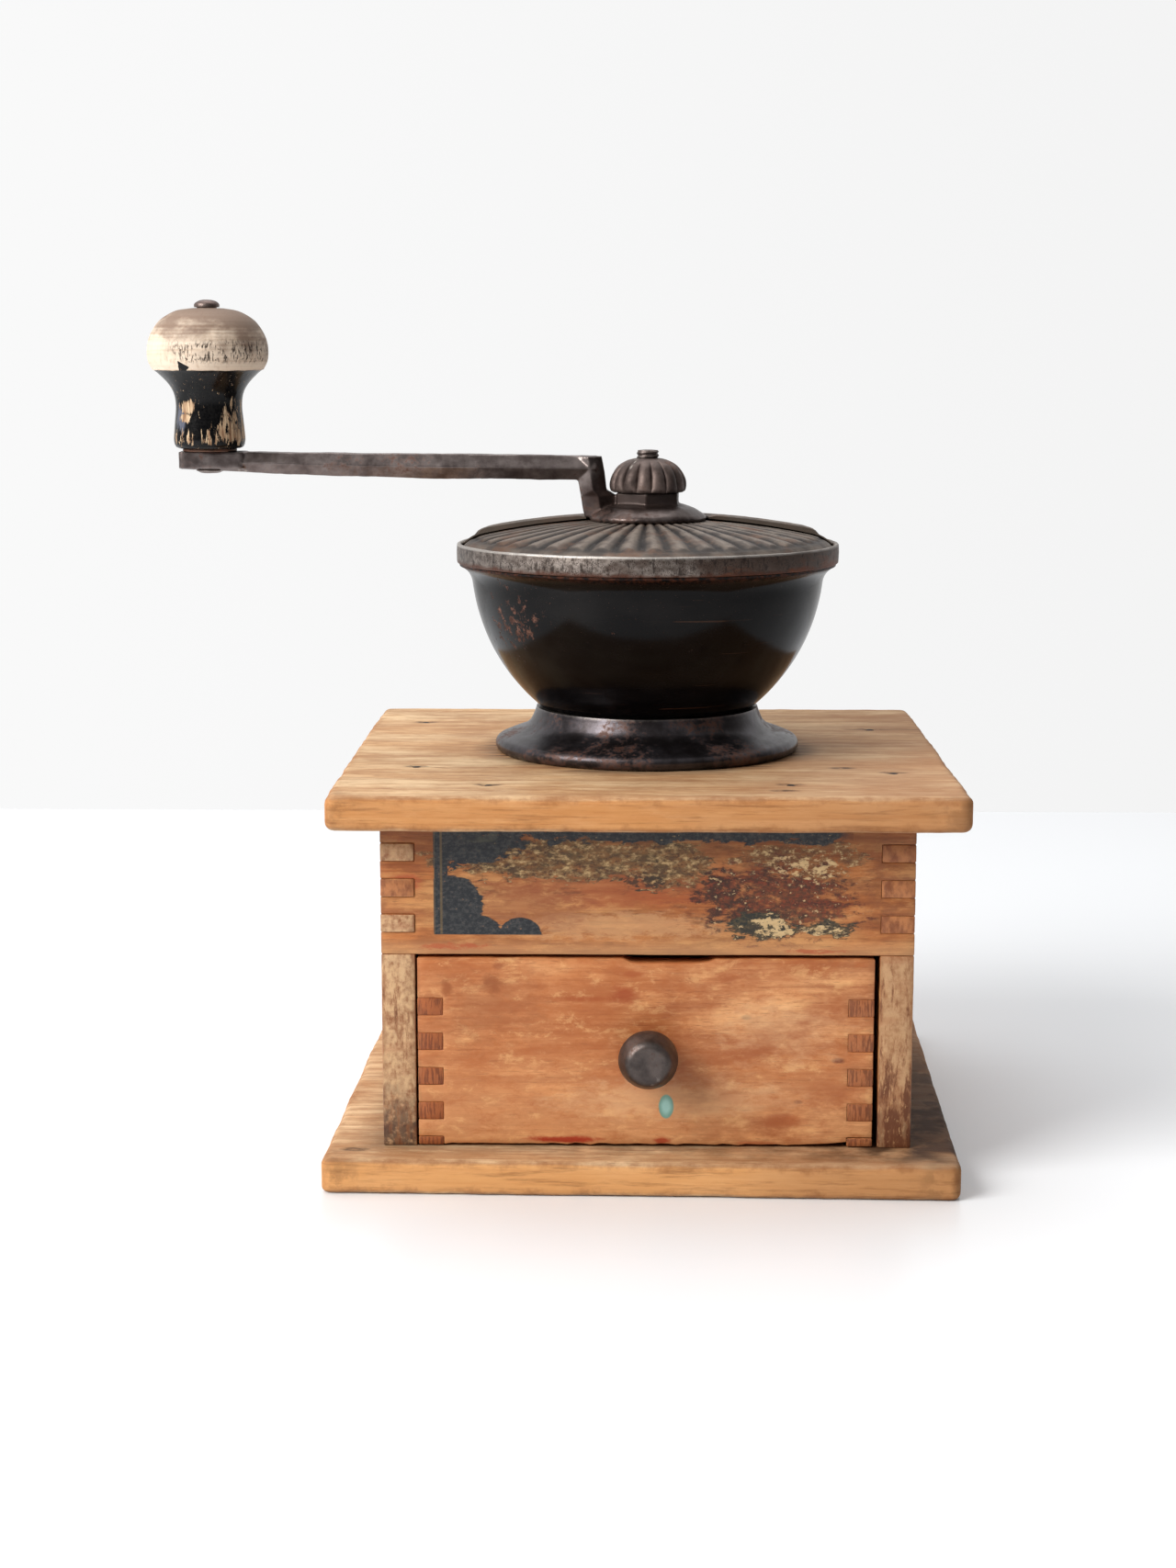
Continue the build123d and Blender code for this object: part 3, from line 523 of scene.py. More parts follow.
def nail_halo(coat, nails, reach):
    """1 close to any nail, on the face of a board, drawn out along the grain."""
    total = None
    for x, y in nails:
        du, dv = (coat.x - x) * (1 / (2.2 * reach)), (coat.y - y) * (1 / reach)
        near = (du * du + dv * dv).smooth(1.0, 0.05)
        total = near if total is None else total.most(near)
    return total


def board_coat(name, low, high, nails, shift, collar=None, case=None):
    """Light tan board with dark arrises, nail stains and, on the top board, grime round the collar; on the
    base board, dirt round the case and painted shadow of the case beside it.
    """
    coat = Coat(name)
    grain = Grain(coat, X, (18.0, -62.0), 4.3, 0.05, 6.0, shift)
    plain_wood(coat, grain, tone(230, 199, 158), tone(209, 166, 122), tone(154, 104, 66), 0.8,
               tone(190, 142, 98))
    warm = coat.noise((80, 40, 40), 2, shift=shift + 5)
    side = coat.normal[Z].size().smooth(0.8, 0.35)
    coat.lay(side * 0.75, coat.mix(grain.fibre, tone(222, 160, 96), tone(186, 116, 62)))
    if case:
        coat.lay(side * 0.35, 240, 182, 118)
    # browner patches at random, and more of them towards the right: painted shade, the right of the board
    # darker as if lit from the left
    brown = (warm * 0.9 + coat.x * 0.0035).smooth(0.42, 0.75)
    coat.lay(brown * 0.45, 160, 112, 76)
    gap = coat.edge_gap(low, high)
    rub = coat.noise(6, 4, 0.65, shift + 9)
    worn = (gap * 0.11 + rub).smooth(0.78, 0.42)
    coat.lay(worn * 0.55, 138, 86, 52)
    streaks = coat.noise((22, 22, 1.6), 5, 0.66, shift + 13).smooth(0.50, 0.72) * side
    coat.lay(streaks * 0.55, 126, 78, 46)
    corner = (coat.x.size() + coat.y.size() + rub * 14).smooth(171, 184)
    coat.lay(corner * rub.smooth(0.42, 0.60) * 0.35, 92, 60, 40)
    if nails:
        halo = nail_halo(coat, nails, 2.4) * coat.noise((3, 1.2, 3), 3, 0.6, shift + 2).smooth(0.25, 0.6)
        coat.lay(halo * 0.85, 58, 40, 32)
    if collar:
        ring = span(coat.x, coat.y)
        smear = coat.noise((30, 2.2, 8), 4, 0.65, shift + 31)
        grime = ring.smooth(collar + 9.0, collar - 1.0) * smear.smooth(0.3, 0.62)
        coat.lay(grime * 0.8, 70, 50, 38)
        bend = (coat.noise((7, 40, 40), 2, 0.5, 77) - 0.5) * 3.0
        crack = (coat.y - 40.5 + bend).size().smooth(0.55, 0.2) * coat.x.smooth(62, 66)
        coat.lay(crack * 0.85, 48, 32, 26)
    if case:
        # darker round the foot of the case: partly dirt, partly painted shadow of the case that grows towards
        # the right and fills the strip beside its right wall
        outside = (coat.x.size() - case[0]).most(coat.y.size() - case[1])
        near = (outside - coat.x * 0.05).smooth(15.0, 0.0) * (0.55 + coat.x.smooth(20, 80) * 0.45)
        beside = (coat.x - case[0]).smooth(0, 3) * coat.y.smooth(80, -20) * (coat.y + case[1]).smooth(-7, 0)
        near = near.most(beside)
        smear = coat.noise((14, 14, 8), 4, 0.6, shift + 37).smooth(0.25, 0.60).most(beside * 0.8)
        coat.lay(near * smear * 0.92, 50, 30, 20)
    rough = grain.fibre * 0.12 + 0.58 + worn * 0.1
    return coat.finish(rough, relief=wood_relief(grain), depth=0.14, Specular_IOR_Level=0.15)


def box_coat(node, axis, shift, end, faded=None, front=False):
    """Orange-brown oiled wood of the case, with grime; the front panel keeps remains of paint.

    Between the two heights of faded, the end grain has taken the colour of the oiled faces.
    """
    coat = Coat(node + "_wood")
    pith = (-34.0, 40.0) if axis == X else (30.0, 40.0)
    grain = Grain(coat, axis, pith, 5.2, 0.03, 6.0, shift)
    plain_wood(coat, grain, tone(212, 156, 98), tone(184, 110, 56), tone(122, 64, 32), 0.9, end)
    red = coat.noise((30, 20, 5), 4, 0.62, shift + 4).smooth(0.50, 0.72)
    coat.lay(red * 0.4, 152, 78, 42)
    gap = coat.edge_gap(*box_mm(node))
    rub = coat.noise(5, 4, 0.65, shift + 9)
    worn = (gap * 0.16 + rub).smooth(0.74, 0.46)
    coat.lay(worn * 0.5, 128, 80, 46)
    foot = (coat.z + coat.noise((7, 7, 24), 4, 0.65, shift + 6) * 34).smooth(48, 30)
    coat.lay(foot * coat.noise(4, 4, 0.65, shift + 8).smooth(0.32, 0.52) * 0.85, 66, 48, 42)
    post = coat.z.smooth(opening_z + 4, opening_z - 1) * grain.cut
    mottle = coat.noise((2.2, 2.2, 11.0), 6, 0.74, shift + 12)
    right = coat.x.smooth(-20, 60)
    low_right = right * coat.z.smooth(46, 14)
    coat.lay(post * right * 0.45, 172, 126, 86)
    coat.lay(post * (mottle + low_right * 0.12).smooth(0.50, 0.60) * 0.65, 150, 98, 62)
    coat.lay(post * (mottle + low_right * 0.14).smooth(0.56, 0.68) * 0.85, 98, 52, 30)
    chips = coat.noise((1.5, 1.5, 4.0), 5, 0.7, shift + 52).smooth(0.58, 0.62) * low_right
    coat.lay(post * chips * 0.7, 206, 160, 112)
    if faded:
        inside = coat.z.smooth(faded[0] - 0.5, faded[0] + 0.5) * coat.z.smooth(faded[1] + 0.5, faded[1] - 0.5)
        oiled = coat.mix(grain.layer.smooth(0.4, 0.65), tone(178, 112, 66), tone(130, 72, 40))
        coat.lay(grain.cut * inside * 0.92, oiled)
    # painted shade under the top board's overhang: the walls darker towards the top
    painted_eaves_shade = (coat.z + rub * 9).smooth(deck_z - 19, deck_z - 8)
    coat.lay(painted_eaves_shade * 0.35, 84, 52, 34)
    rough = grain.fibre * 0.14 + 0.48
    relief = wood_relief(grain)
    if front:
        paint = front_paint(coat, shift)
        rough = rough - paint * 0.14
        relief = relief * (1 - paint * 0.6) + paint * 0.7
    return coat.finish(rough, relief=relief, depth=0.12, Specular_IOR_Level=0.4)


def front_paint(coat, shift):
    """Lays remains of a plain painted panel on the upper front: black, maroon and cream patches.

    It gives back how far the surface is painted.
    """
    x, z, bare = coat.x, coat.z, coat.colour
    ragged = coat.noise((5.0, 4.0, 1.9), 6, 0.70, shift, warp=0.4) - 0.5
    fleck = coat.noise((2.6, 2.4, 1.5), 6, 0.74, shift + 40)
    patch = coat.noise((8.0, 5.0, 3.4), 5, 0.70, shift + 60)
    grit = coat.noise((1.1, 1.0, 0.8), 4, 0.7, shift + 44)
    out = coat.normal[Y].smooth(-0.5, -0.8)
    panel = coat.oblong(x, z, -60.2, 57.5, 71.6, 102.5).smooth(0.0, 0.25)

    def oval(centre, radii, rag, soft):
        return (coat.oval(x, z, centre, radii) + ragged * rag).smooth(0.0, soft)

    coat.lay(oval((-8, 74.5), (46, 5.0), 2.4, 0.6) * 0.45, 214, 166, 118)
    coat.lay(oval((-6, 86.0), (46, 8.0), 1.8, 0.6) * 0.70, 156, 78, 42)
    coat.lay(oval((-34, 81.0), (22, 9.0), 2.4, 0.7) * 0.60, 138, 76, 46)
    smut = coat.noise((10, 6, 2.4), 6, 0.7, shift + 70)
    coat.lay((smut + (z - 84) * 0.006).smooth(0.50, 0.68) * panel * 0.6, 96, 56, 34)
    coat.lay(oval((66, 86.0), (10, 16), 1.6, 0.6) * patch.smooth(0.4, 0.6) * 0.6, 116, 66, 40)

    # olive and cream flecks on a dark ground, below the black band
    zone = oval((-24, 93.6), (35, 6.2), 2.2, 0.12).most(oval((6, 91.8), (12, 7.5), 2.2, 0.12))
    right = oval((42, 93.0), (18, 7.0), 2.6, 0.12) * patch.smooth(0.42, 0.47)
    ground = coat.mix(patch.smooth(0.42, 0.60), tone(122, 84, 48), tone(70, 62, 42))
    ground = coat.mix(grit.smooth(0.50, 0.58) * 0.8, ground, tone(44, 38, 30))
    coat.lay(zone.most(right * 0.6) * patch.smooth(0.34, 0.42) * 0.85, ground)
    zone = zone.most(right)
    coat.lay(zone * fleck.smooth(0.47, 0.60) * 0.8, 168, 138, 94)
    coat.lay(zone * (fleck + right * 0.03).smooth(0.585, 0.63) * 0.75, 204, 174, 124)
    clump = oval((-1, 87.2), (6.5, 2.4), 2.0, 0.15)
    coat.lay(clump * fleck.smooth(0.56, 0.46) * 0.85, 48, 40, 32)

    # maroon patch with cream chips and dark green remains at its foot
    maroon = oval((36, 81.5), (25, 12.5), 2.4, 0.35) * (patch * 0.7 + fleck * 0.3).smooth(0.35, 0.50)
    coat.lay(maroon * 0.85, coat.mix(grit.smooth(0.36, 0.58), tone(116, 46, 28), tone(56, 28, 24)))
    gloom = oval((22, 84.0), (9, 6.0), 3.0, 0.3).most(oval((30, 77.5), (14, 3.0), 3.0, 0.3))
    coat.lay(gloom * fleck.smooth(0.44, 0.52) * 0.8, 52, 34, 26)
    green = oval((32, 74.4), (11, 4.0), 2.2, 0.15).most(oval((51, 73.6), (8, 2.6), 2.4, 0.15))
    coat.lay(green * 0.92, coat.mix(grit.smooth(0.45, 0.6), tone(34, 42, 38), tone(78, 68, 48)))
    chips = oval((35.5, 74.2), (5.0, 3.2), 2.8, 0.10) * (fleck + patch * 0.5).smooth(0.70, 0.75)
    chips = chips.most(maroon * fleck.smooth(0.60, 0.64))
    loose = oval((50, 73.0), (6.5, 1.6), 3.4, 0.08).most(oval((45, 91.0), (9, 3.4), 3.8, 0.08))
    chips = chips.most(loose * fleck.smooth(0.46, 0.56))
    coat.lay(chips * 0.85, coat.mix(grit, tone(232, 204, 154), tone(196, 158, 108)))

    # black: top band, left strip and two rounded remains at its foot
    wave = coat.noise((22, 9, 9), 3, 0.6, shift + 50) * 9
    top = (z + ragged * 7.0 + wave).smooth(103.2, 103.8) * x.smooth(57, 53)
    left_top = oval((-62, 101.5), (30, 11.0), 1.0, 0.06)
    strip = coat.oblong(x, z, -60.0, -56.0, 71.8, 102).smooth(0.0, 0.2)
    foot = oval((-55.5, 80.0), (9.6, 9.0), 0.5, 0.06).most(oval((-51.0, 73.5), (10.4, 4.4), 0.4, 0.06))
    mound = oval((-35.8, 71.2), (6.4, 5.7), 0.3, 0.06)
    black = top.most(left_top).most(strip).most(foot).most(mound) * panel
    sooty = coat.mix(grit.smooth(0.4, 0.66), tone(32, 35, 40), tone(64, 64, 64))
    rubbed = (grit.smooth(0.64, 0.70) * 0.5).most(fleck.smooth(0.62, 0.66) * 0.8 * (1 - foot.most(mound)))
    coat.lay(black * (1 - rubbed), sooty)
    line = ((x + 57.9).size().smooth(0.5, 0.15) + (x + 59.9).size().smooth(0.35, 0.1)) * strip
    coat.lay(line * 0.6, 112, 92, 62)
    dull = oval((-47.5, 99.6), (7.5, 1.6), 0.8, 0.2)
    coat.lay(dull * patch.smooth(0.4, 0.6) * 0.4, 88, 88, 70)

    coat.lay(z.smooth(71.5, 67) * 0.35, 222, 168, 116)
    # red streaks along the lower rail
    streaks = oval((-54, 68.4), (11.5, 1.3), 2.4, 0.5).most(oval((48, 67.2), (10, 0.8), 2.4, 0.5))
    streaks = streaks.most(oval((-68, 86.6), (6, 3.2), 0.8, 0.5))
    coat.lay(streaks * patch.smooth(0.38, 0.52) * 0.7, 172, 78, 44)
    coat.colour = coat.mix(out, bare, coat.colour)
    return black.most(maroon * 0.7).most(zone * 0.5) * out


def drawer_coat(node, axis, shift, end, front=False):
    """Wood of the drawer: orange-tan outside, with stains and drips on its front."""
    coat = Coat(node + "_wood")
    grain = Grain(coat, axis, (60.0, -30.0), 7.5, 0.16 if front else 0.02, 9.0, shift)
    plain_wood(coat, grain, tone(236, 176, 120), tone(214, 142, 86), tone(152, 82, 44), 0.9, end)
    warm = (coat.noise((40, 30, 14), 5, 0.6, shift + 4) - coat.x * 0.0022).smooth(0.38, 0.60)
    coat.lay(warm * 0.55, 176, 98, 50)
    gap = coat.edge_gap(*box_mm(node))
    rub = coat.noise(5, 4, 0.65, shift + 9)
    worn = (gap * 0.2 + rub).smooth(0.72, 0.46)
    coat.lay(worn * 0.4, 138, 84, 48)
    if front:
        drawer_stains_and_light(coat, shift)
    lines = coat.noise((0.6, 4.0, 5.0), 3, 0.6, shift + 15).smooth(0.46, 0.58)
    coat.lay(lines * grain.cut * 0.6, 88, 42, 26)
    rough = grain.fibre * 0.14 + 0.46
    return coat.finish(rough, relief=wood_relief(grain), depth=0.10, Specular_IOR_Level=0.4)


def drawer_stains_and_light(coat, shift):
    """Lays painted light on the lower half, stains, red paint along the foot, a halo round the knob and one
    drip of turquoise paint.
    """
    x, z = coat.x, coat.z
    ragged = coat.noise((6.0, 4.0, 3.0), 6, 0.70, shift + 2, warp=0.4) - 0.5
    # painted light: the lower half lighter, as if lit by light bounced up from the table
    coat.lay(z.smooth(46, 12) * 0.30, 242, 186, 130)
    worn = coat.noise((8, 6, 4.2), 6, 0.72, shift + 21, warp=0.3)
    coat.lay(worn.smooth(0.50, 0.66) * 0.45, 176, 96, 46)
    coat.lay(worn.smooth(0.47, 0.32) * 0.45, 238, 186, 126)
    marks = [  # centre, radii, colour, strength
        ((-6.0, 54.5), (6.0, 3.4), (158, 70, 30), 0.85),
        ((-18.0, 53.2), (12.0, 1.2), (164, 80, 36), 0.75),
        ((-4.0, 60.5), (4.5, 1.4), (164, 80, 36), 0.7),
        ((-43.5, 57.5), (4.0, 4.0), (142, 74, 34), 0.8),
        ((-42.0, 62.8), (3.0, 1.6), (140, 66, 34), 0.6),
        ((-56.5, 56.0), (2.6, 3.4), (148, 78, 36), 0.8),
        ((39.5, 18.0), (8.0, 2.6), (178, 88, 38), 0.65),
        ((30.0, 24.0), (13.0, 2.4), (184, 104, 52), 0.65),
        ((54.4, 35.4), (2.3, 1.1), (110, 52, 34), 0.8),
        ((43.0, 23.4), (1.6, 0.8), (128, 76, 52), 0.7),
        ((28.0, 48.0), (1.8, 1.0), (120, 96, 72), 0.5),
        ((-24.0, 12.0), (14.0, 1.3), (166, 48, 22), 0.95),
        ((4.5, 11.8), (3.4, 1.5), (168, 60, 30), 0.9),
        ((32.0, 11.2), (9.0, 0.7), (180, 86, 52), 0.5),
    ]

    def blot(centre, radii, rag, low, high):
        return (coat.oval(x, z, centre, radii) + ragged * rag).smooth(low, high)

    for centre, radii, stain, strength in marks:
        coat.lay(blot(centre, radii, 1.4, 0.0, 0.7) * strength, *stain)
    halo = blot((2.5, drawer_knob_z - 2.0), (17.0, 13.0), 1.6, 0.0, 0.6)
    coat.lay(halo * 0.6, 158, 82, 40)
    pale = blot((8, 24), (50, 9), 1.8, 0.1, 0.8).most(blot((38, 44), (26, 14), 2.0, 0.1, 0.9))
    coat.lay(pale * 0.45, 232, 186, 138)
    coat.lay(blot((-46, 50), (24, 16), 2.4, 0.1, 0.9) * 0.45, 150, 88, 50)

    # slanting bands of figured grain on the right
    slant = (z * 1.9 - x * 0.85) + coat.noise((30, 20, 12), 3, 0.6, shift + 33) * 26
    bands = (slant * (1 / 7.5)).sine() * 0.5 + 0.5
    bands = bands * coat.noise((14, 8, 6), 4, 0.65, shift + 35).smooth(0.36, 0.64)
    bands = bands * x.smooth(-6, 26) * (coat.noise((20, 12, 14), 3, 0.6, shift + 36) * 0.8 + 0.5)
    coat.lay(bands * 0.85, 160, 86, 46)
    drip = coat.oval(x, z, (5.5, 21.9), (2.3, 3.8)) + ragged * 0.2
    turquoise = coat.mix(drip.smooth(0.1, 0.7), tone(96, 158, 146), tone(150, 206, 200))
    coat.lay(drip.smooth(0.0, 0.15) * 0.9, turquoise)


# ================================================================ metals
def iron_coat(name, dark, light, rust, rusty=0.5, worn=0.5, shift=0.0, rough=(0.38, 0.62), shine=0.75,
              bump=0.07, centre=None):
    """Old iron: brown-grey skin, rust blotches, fine pits, and arrises rubbed bright.

    A tone given as centre colours the iron close to the crank's axis.
    """
    coat = Coat(name)
    blotch = coat.noise(9, 5, 0.62, shift)
    fine = coat.noise(1.4, 4, 0.65, shift + 5)
    grit = coat.noise(0.5, 3, 0.6, shift + 8)
    pits = coat.cells(1.7, shift).smooth(0.16, 0.05) * coat.noise(6, 2, 0.5, shift + 3).smooth(0.45, 0.6)
    coat.colour = coat.mix(blotch.smooth(0.35, 0.68), dark, light)
    rusted = blotch * 0.5 + fine * 0.5 + coat.noise(22, 2, 0.5, shift + 11) * 0.6
    rusted = rusted.smooth(1.02 - rusty * 0.4, 1.16 - rusty * 0.4)
    coat.lay(rusted * 0.8, coat.mix(fine.smooth(0.4, 0.65), rust, tone(84, 46, 28)))
    if centre is not None:
        reach = span(coat.x, coat.y) + (blotch - 0.5) * 6
        rusted = rusted.most(reach.smooth(13.0, 8.0) * 0.75)
        coat.lay(reach.smooth(22.0, 13.0) * 0.85, centre)
    rub = (coat.pointed() + (fine - 0.5) * 0.10).smooth(0.53, 0.62)
    coat.lay(rub * worn, 168, 160, 152)
    coat.lay(pits * 0.8, 26, 20, 18)
    roughness = fine * (rough[1] - rough[0]) + rough[0] + rusted * 0.22 - rub * (0.12 * worn)
    relief = fine * 0.5 + grit * 0.25 - pits * 0.6 - rusted * grit * 0.3
    return coat.finish(roughness, shine - rusted * 0.55, relief, bump)


def band_coat(name):
    """The lid: a pitted steel band, brown at its ends and rusty at its foot, round dark ribbed iron."""
    coat = Coat(name)
    fine = coat.noise((2.6, 2.6, 2.0), 5, 0.62, 2)
    blotch = coat.noise(7, 4, 0.6, 9)
    ring = span(coat.x, coat.y)
    on_band = ring.smooth(band_radius - 1.6, band_radius - 0.8)

    # the ribbed halves: painted shade in the grooves, and crowns lighter, partly rubbed wear and partly
    # painted highlight
    coat.colour = coat.mix(blotch.smooth(0.36, 0.66), tone(74, 64, 58), tone(112, 100, 90))
    turn = coat.math("ARCTAN2", coat.y, coat.x) * (ribs_per_half / math.pi)
    turn = turn + (blotch - 0.5) * 0.25 + (100 + rib_shift)
    across = (turn.fraction() * 2 - 1).size().most(ring.smooth(rib_end - 2.5, rib_end) * 0.72)
    deep = across.smooth(0.40, 0.86) * ring.smooth(band_radius - 2.5, rib_end - 0.5)
    coat.lay(deep * 0.9, 27, 22, 21)
    coat.lay(across.smooth(0.45, 0.05) * fine.smooth(0.30, 0.52) * 0.6, 142, 130, 120)
    coat.lay(coat.noise(12, 4, 0.65, 14).smooth(0.50, 0.70) * 0.65, 108, 76, 56)
    # painted light: upright faces off the band, such as the step between the halves, lighter to offset the
    # shade they lie in
    step = coat.normal[Z].size().smooth(0.5, 0.2) * (1 - on_band)
    coat.lay(step * 0.8, 104, 92, 82)
    skin = coat.colour

    # the band
    coat.colour = coat.mix(fine.smooth(0.32, 0.68), tone(92, 82, 76), tone(146, 136, 129))
    brown = coat.noise((16, 16, 9), 4, 0.6, 21) + coat.x.size() * 0.003 + coat.x * 0.005
    brown = brown.smooth(0.50, 0.74)
    coat.lay(brown * 0.9, 74, 58, 50)
    pits = coat.cells((1.7, 1.7, 2.4), 4).smooth(0.44, 0.22) * coat.noise(4, 3, 0.6, 6).smooth(0.36, 0.50)
    pits = pits.most(coat.noise((1.3, 1.3, 3.4), 4, 0.6, 26).smooth(0.53, 0.61) * 0.8)
    coat.lay(pits * 0.85, 36, 28, 26)
    # top arris of the band lighter, more on the left: partly rubbed wear, partly painted highlight
    edge = coat.z.smooth(lip_z + 5.1, lip_z + 5.6) * (blotch + 0.2 - coat.x * 0.006)
    coat.lay(edge.most(0.0).least(0.8), 190, 184, 178)
    foot = (coat.z + (blotch - 0.5) * 3.0).smooth(lip_z + 1.7, lip_z + 0.3)
    coat.lay(foot * 0.8, coat.mix(fine, tone(92, 44, 22), tone(54, 34, 26)))
    rust = coat.noise((14, 14, 4), 4, 0.7, 33) + coat.x * 0.004 - coat.z * 0.03 + lip_z * 0.03
    rust = rust.smooth(0.62, 0.80)
    coat.lay(rust * 0.5, 112, 62, 36)

    coat.colour = coat.mix(on_band, skin, coat.colour)
    rusted = (foot * 0.7).most(rust * 0.6).most(brown * 0.5) * on_band
    rough = fine * 0.2 + 0.36 + (1 - on_band) * 0.1 + rusted * 0.15
    relief = fine * 0.4 + coat.noise(0.8, 3, 0.6, 18) * 0.2 - pits * on_band * 0.8
    return coat.finish(rough, 0.55 + on_band * 0.4 - rusted * 0.5, relief, 0.06)


def enamel_coat(name):
    """Glossy black japanning with a dusty bloom, and rust showing where it has flaked off."""
    coat = Coat(name)
    fine = coat.noise(1.5, 5, 0.7, 4)
    cloud = coat.noise((24, 24, 12), 3, 0.55, 6)
    # flakes gather on the upper left front, where the bowl has been knocked
    near = (coat.oval(coat.x, coat.z, (-38, 156), (13, 16)) * coat.y.smooth(5, -15)).most(0.0)
    flakes = (coat.noise(3.0, 5, 0.72, 3) * 0.8 + fine * 0.25 + near * 0.20).smooth(0.68, 0.72)
    specks = coat.cells(4.5, 7).smooth(0.11, 0.05) * coat.z.smooth(145, 165)
    flakes = flakes.most(specks * 0.7)
    coat.colour = coat.mix(cloud.smooth(0.4, 0.7), tone(8, 7, 8), tone(19, 17, 17))
    coat.lay(flakes * 0.85, coat.mix(fine.smooth(0.4, 0.6), tone(118, 84, 72), tone(66, 44, 38)))
    scratch = coat.noise((50, 50, 0.8), 2, 0.5, 8).smooth(0.66, 0.72)
    coat.lay(scratch * coat.noise(16, 2, 0.5, 12).smooth(0.5, 0.6) * 0.4, 88, 60, 44)
    edge = coat.z.smooth(lip_z - 2.5, lip_z)
    coat.lay(edge * fine.smooth(0.4, 0.6) * 0.8, 84, 46, 30)
    rough = cloud * 0.10 + 0.09 + fine * 0.06 + flakes * 0.45 + edge * 0.3
    relief = fine * 0.15 + cloud * 0.5 - flakes * 0.8
    return coat.finish(rough, 0.0, relief, 0.05, Specular_IOR_Level=0.11)


def knob_coat(name):
    """Turned knob: bare cream cap with grime and crackle, and glossy black paint below, chipped."""
    coat = Coat(name)
    x, y, z = coat.x - crank_x, coat.y, coat.z
    seam = knob_z + 23.2
    fine = coat.noise(0.8, 4, 0.65, 2)
    streak = coat.noise((1.0, 1.0, 9), 3, 0.6, 9)

    # the bare cap
    rings = coat.noise((40, 40, 0.8), 3, 0.5, 5)
    coat.colour = coat.mix(rings.smooth(0.30, 0.75) * 0.5, tone(226, 208, 188), tone(204, 174, 146))
    coat.lay(streak.smooth(0.5, 0.75) * 0.35, 176, 138, 108)
    cloud = coat.noise((9, 9, 5), 4, 0.6, 13) * 0.85 + rings * 0.22
    grime = (cloud + (z - seam - 8.0) * 0.035 + x * 0.006).smooth(0.40, 0.78)
    coat.lay(grime * 0.85, 116, 92, 78)
    top = span(x, y).smooth(12, 4) * z.smooth(seam + 12, seam + 15)
    coat.lay(top * 0.7, 104, 84, 70)
    low_cap = z.smooth(seam + 10.0, seam + 7.0) * z.smooth(seam + 1.5, seam + 3.5)
    low_cap = low_cap * (x - y * 0.3).smooth(-9, 3)
    crackle = coat.noise((0.6, 0.6, 2.4), 4, 0.65, 21, warp=0.6).smooth(0.535, 0.58) * low_cap
    crackle = crackle * coat.noise((4, 4, 4), 3, 0.6, 23).smooth(0.36, 0.50)
    coat.lay(crackle * 0.9, 46, 36, 30)
    bare = coat.colour

    # the black paint, its chips and a notch in its upper edge
    ragged = coat.noise((1.1, 1.1, 5.5), 5, 0.72, 31, warp=0.3)

    def blot(centre, radii, rag, low, high):
        spot = coat.oval(x, z, (centre[0], knob_z + centre[1]), radii)
        return (spot + (ragged - 0.5) * rag).smooth(low, high)

    foot = z.smooth(knob_z + 8.5, knob_z + 3.5) * z.smooth(knob_z + 0.4, knob_z + 2.4)
    worn_side = (x - y * 0.35).smooth(5.0, 9.0) * z.smooth(knob_z + 17, knob_z + 12)
    worn_side = worn_side * z.smooth(knob_z + 1, knob_z + 4)
    chips = (ragged + foot * (0.10 - x * 0.002) + worn_side * 0.145).smooth(0.635, 0.66)
    flake = blot((-5.4, 12.4), (2.3, 2.6), 3.0, 0.1, 0.2).most(blot((-5.8, 9.2), (2.0, 1.5), 3.2, 0.1, 0.2))
    chips = chips.most(flake * y.smooth(0, -4))
    coat.colour = coat.mix(fine.smooth(0.4, 0.7), tone(12, 12, 13), tone(24, 23, 23))
    # painted highlight: a bluish reflection of the window on the black paint, at the front left
    coat.lay(blot((-7.2, 8.5), (2.4, 6.5), 2.2, 0.2, 0.6) * y.smooth(0, -4) * 0.55, 120, 124, 140)
    coat.lay(chips, coat.mix(streak.smooth(0.35, 0.65), tone(214, 186, 152), tone(138, 104, 78)))
    wedge = (x + 6.3).least((x + 2.6) * -0.9 + (z - seam - 1.1)).least((x + 3.0) * -0.5 - (z - seam - 1.2))
    notch = (wedge + (fine - 0.5) * 0.8).smooth(0.0, 0.15) * y.smooth(-5, -9)
    above = z + (coat.noise(5, 3, 0.5, 41) - 0.5) * 0.5
    above = above.smooth(seam - 0.08, seam + 0.08) * (1 - notch)

    coat.colour = coat.mix(above, coat.colour, bare)
    rough = above * 0.36 + 0.13 + chips * (1 - above) * 0.4 + fine * 0.06
    relief = above * (rings * 0.4 - crackle * 0.8) + (1 - above) * (0.75 - chips * 0.7) + fine * 0.12
    return coat.finish(rough, 0.0, relief, 0.12, Specular_IOR_Level=0.16)


def grey_coat(name, light, dark, rough, metal, shift=0.0):
    """Plain oxidised metal for nails, screws, bolts and the spindle."""
    coat = Coat(name)
    fine = coat.noise(1.1, 4, 0.65, shift)
    blotch = coat.noise(5, 4, 0.6, shift + 3)
    coat.colour = coat.mix(blotch.smooth(0.35, 0.65), dark, light)
    coat.lay(fine.smooth(0.6, 0.75) * 0.6, 92, 58, 40)
    return coat.finish(fine * 0.25 + rough, metal, fine, 0.05)


# ================================================================ wooden box
top_low, top_high = box_mm("top_board")
base_low, base_high = np.array([-89.65, -90.4, 0.0]), np.array([89.65, 90.4, box_mm("base_board")[1][Z]])
base_skew = -1.3
board_corner, board_arris = 3.0, 2.2
top_nails = [(-72.0, 55.0), (-67.6, -36.0), (-44.7, -68.2), (40.3, -66.6), (71.0, -45.6), (71.9, 41.4),
             (-28.0, 70.2), (30.0, 69.6)]
nail_marks = [(37.8, -77.3), (56.6, -37.7)]
nail_sink, nail_dent = 0.55, 2.6


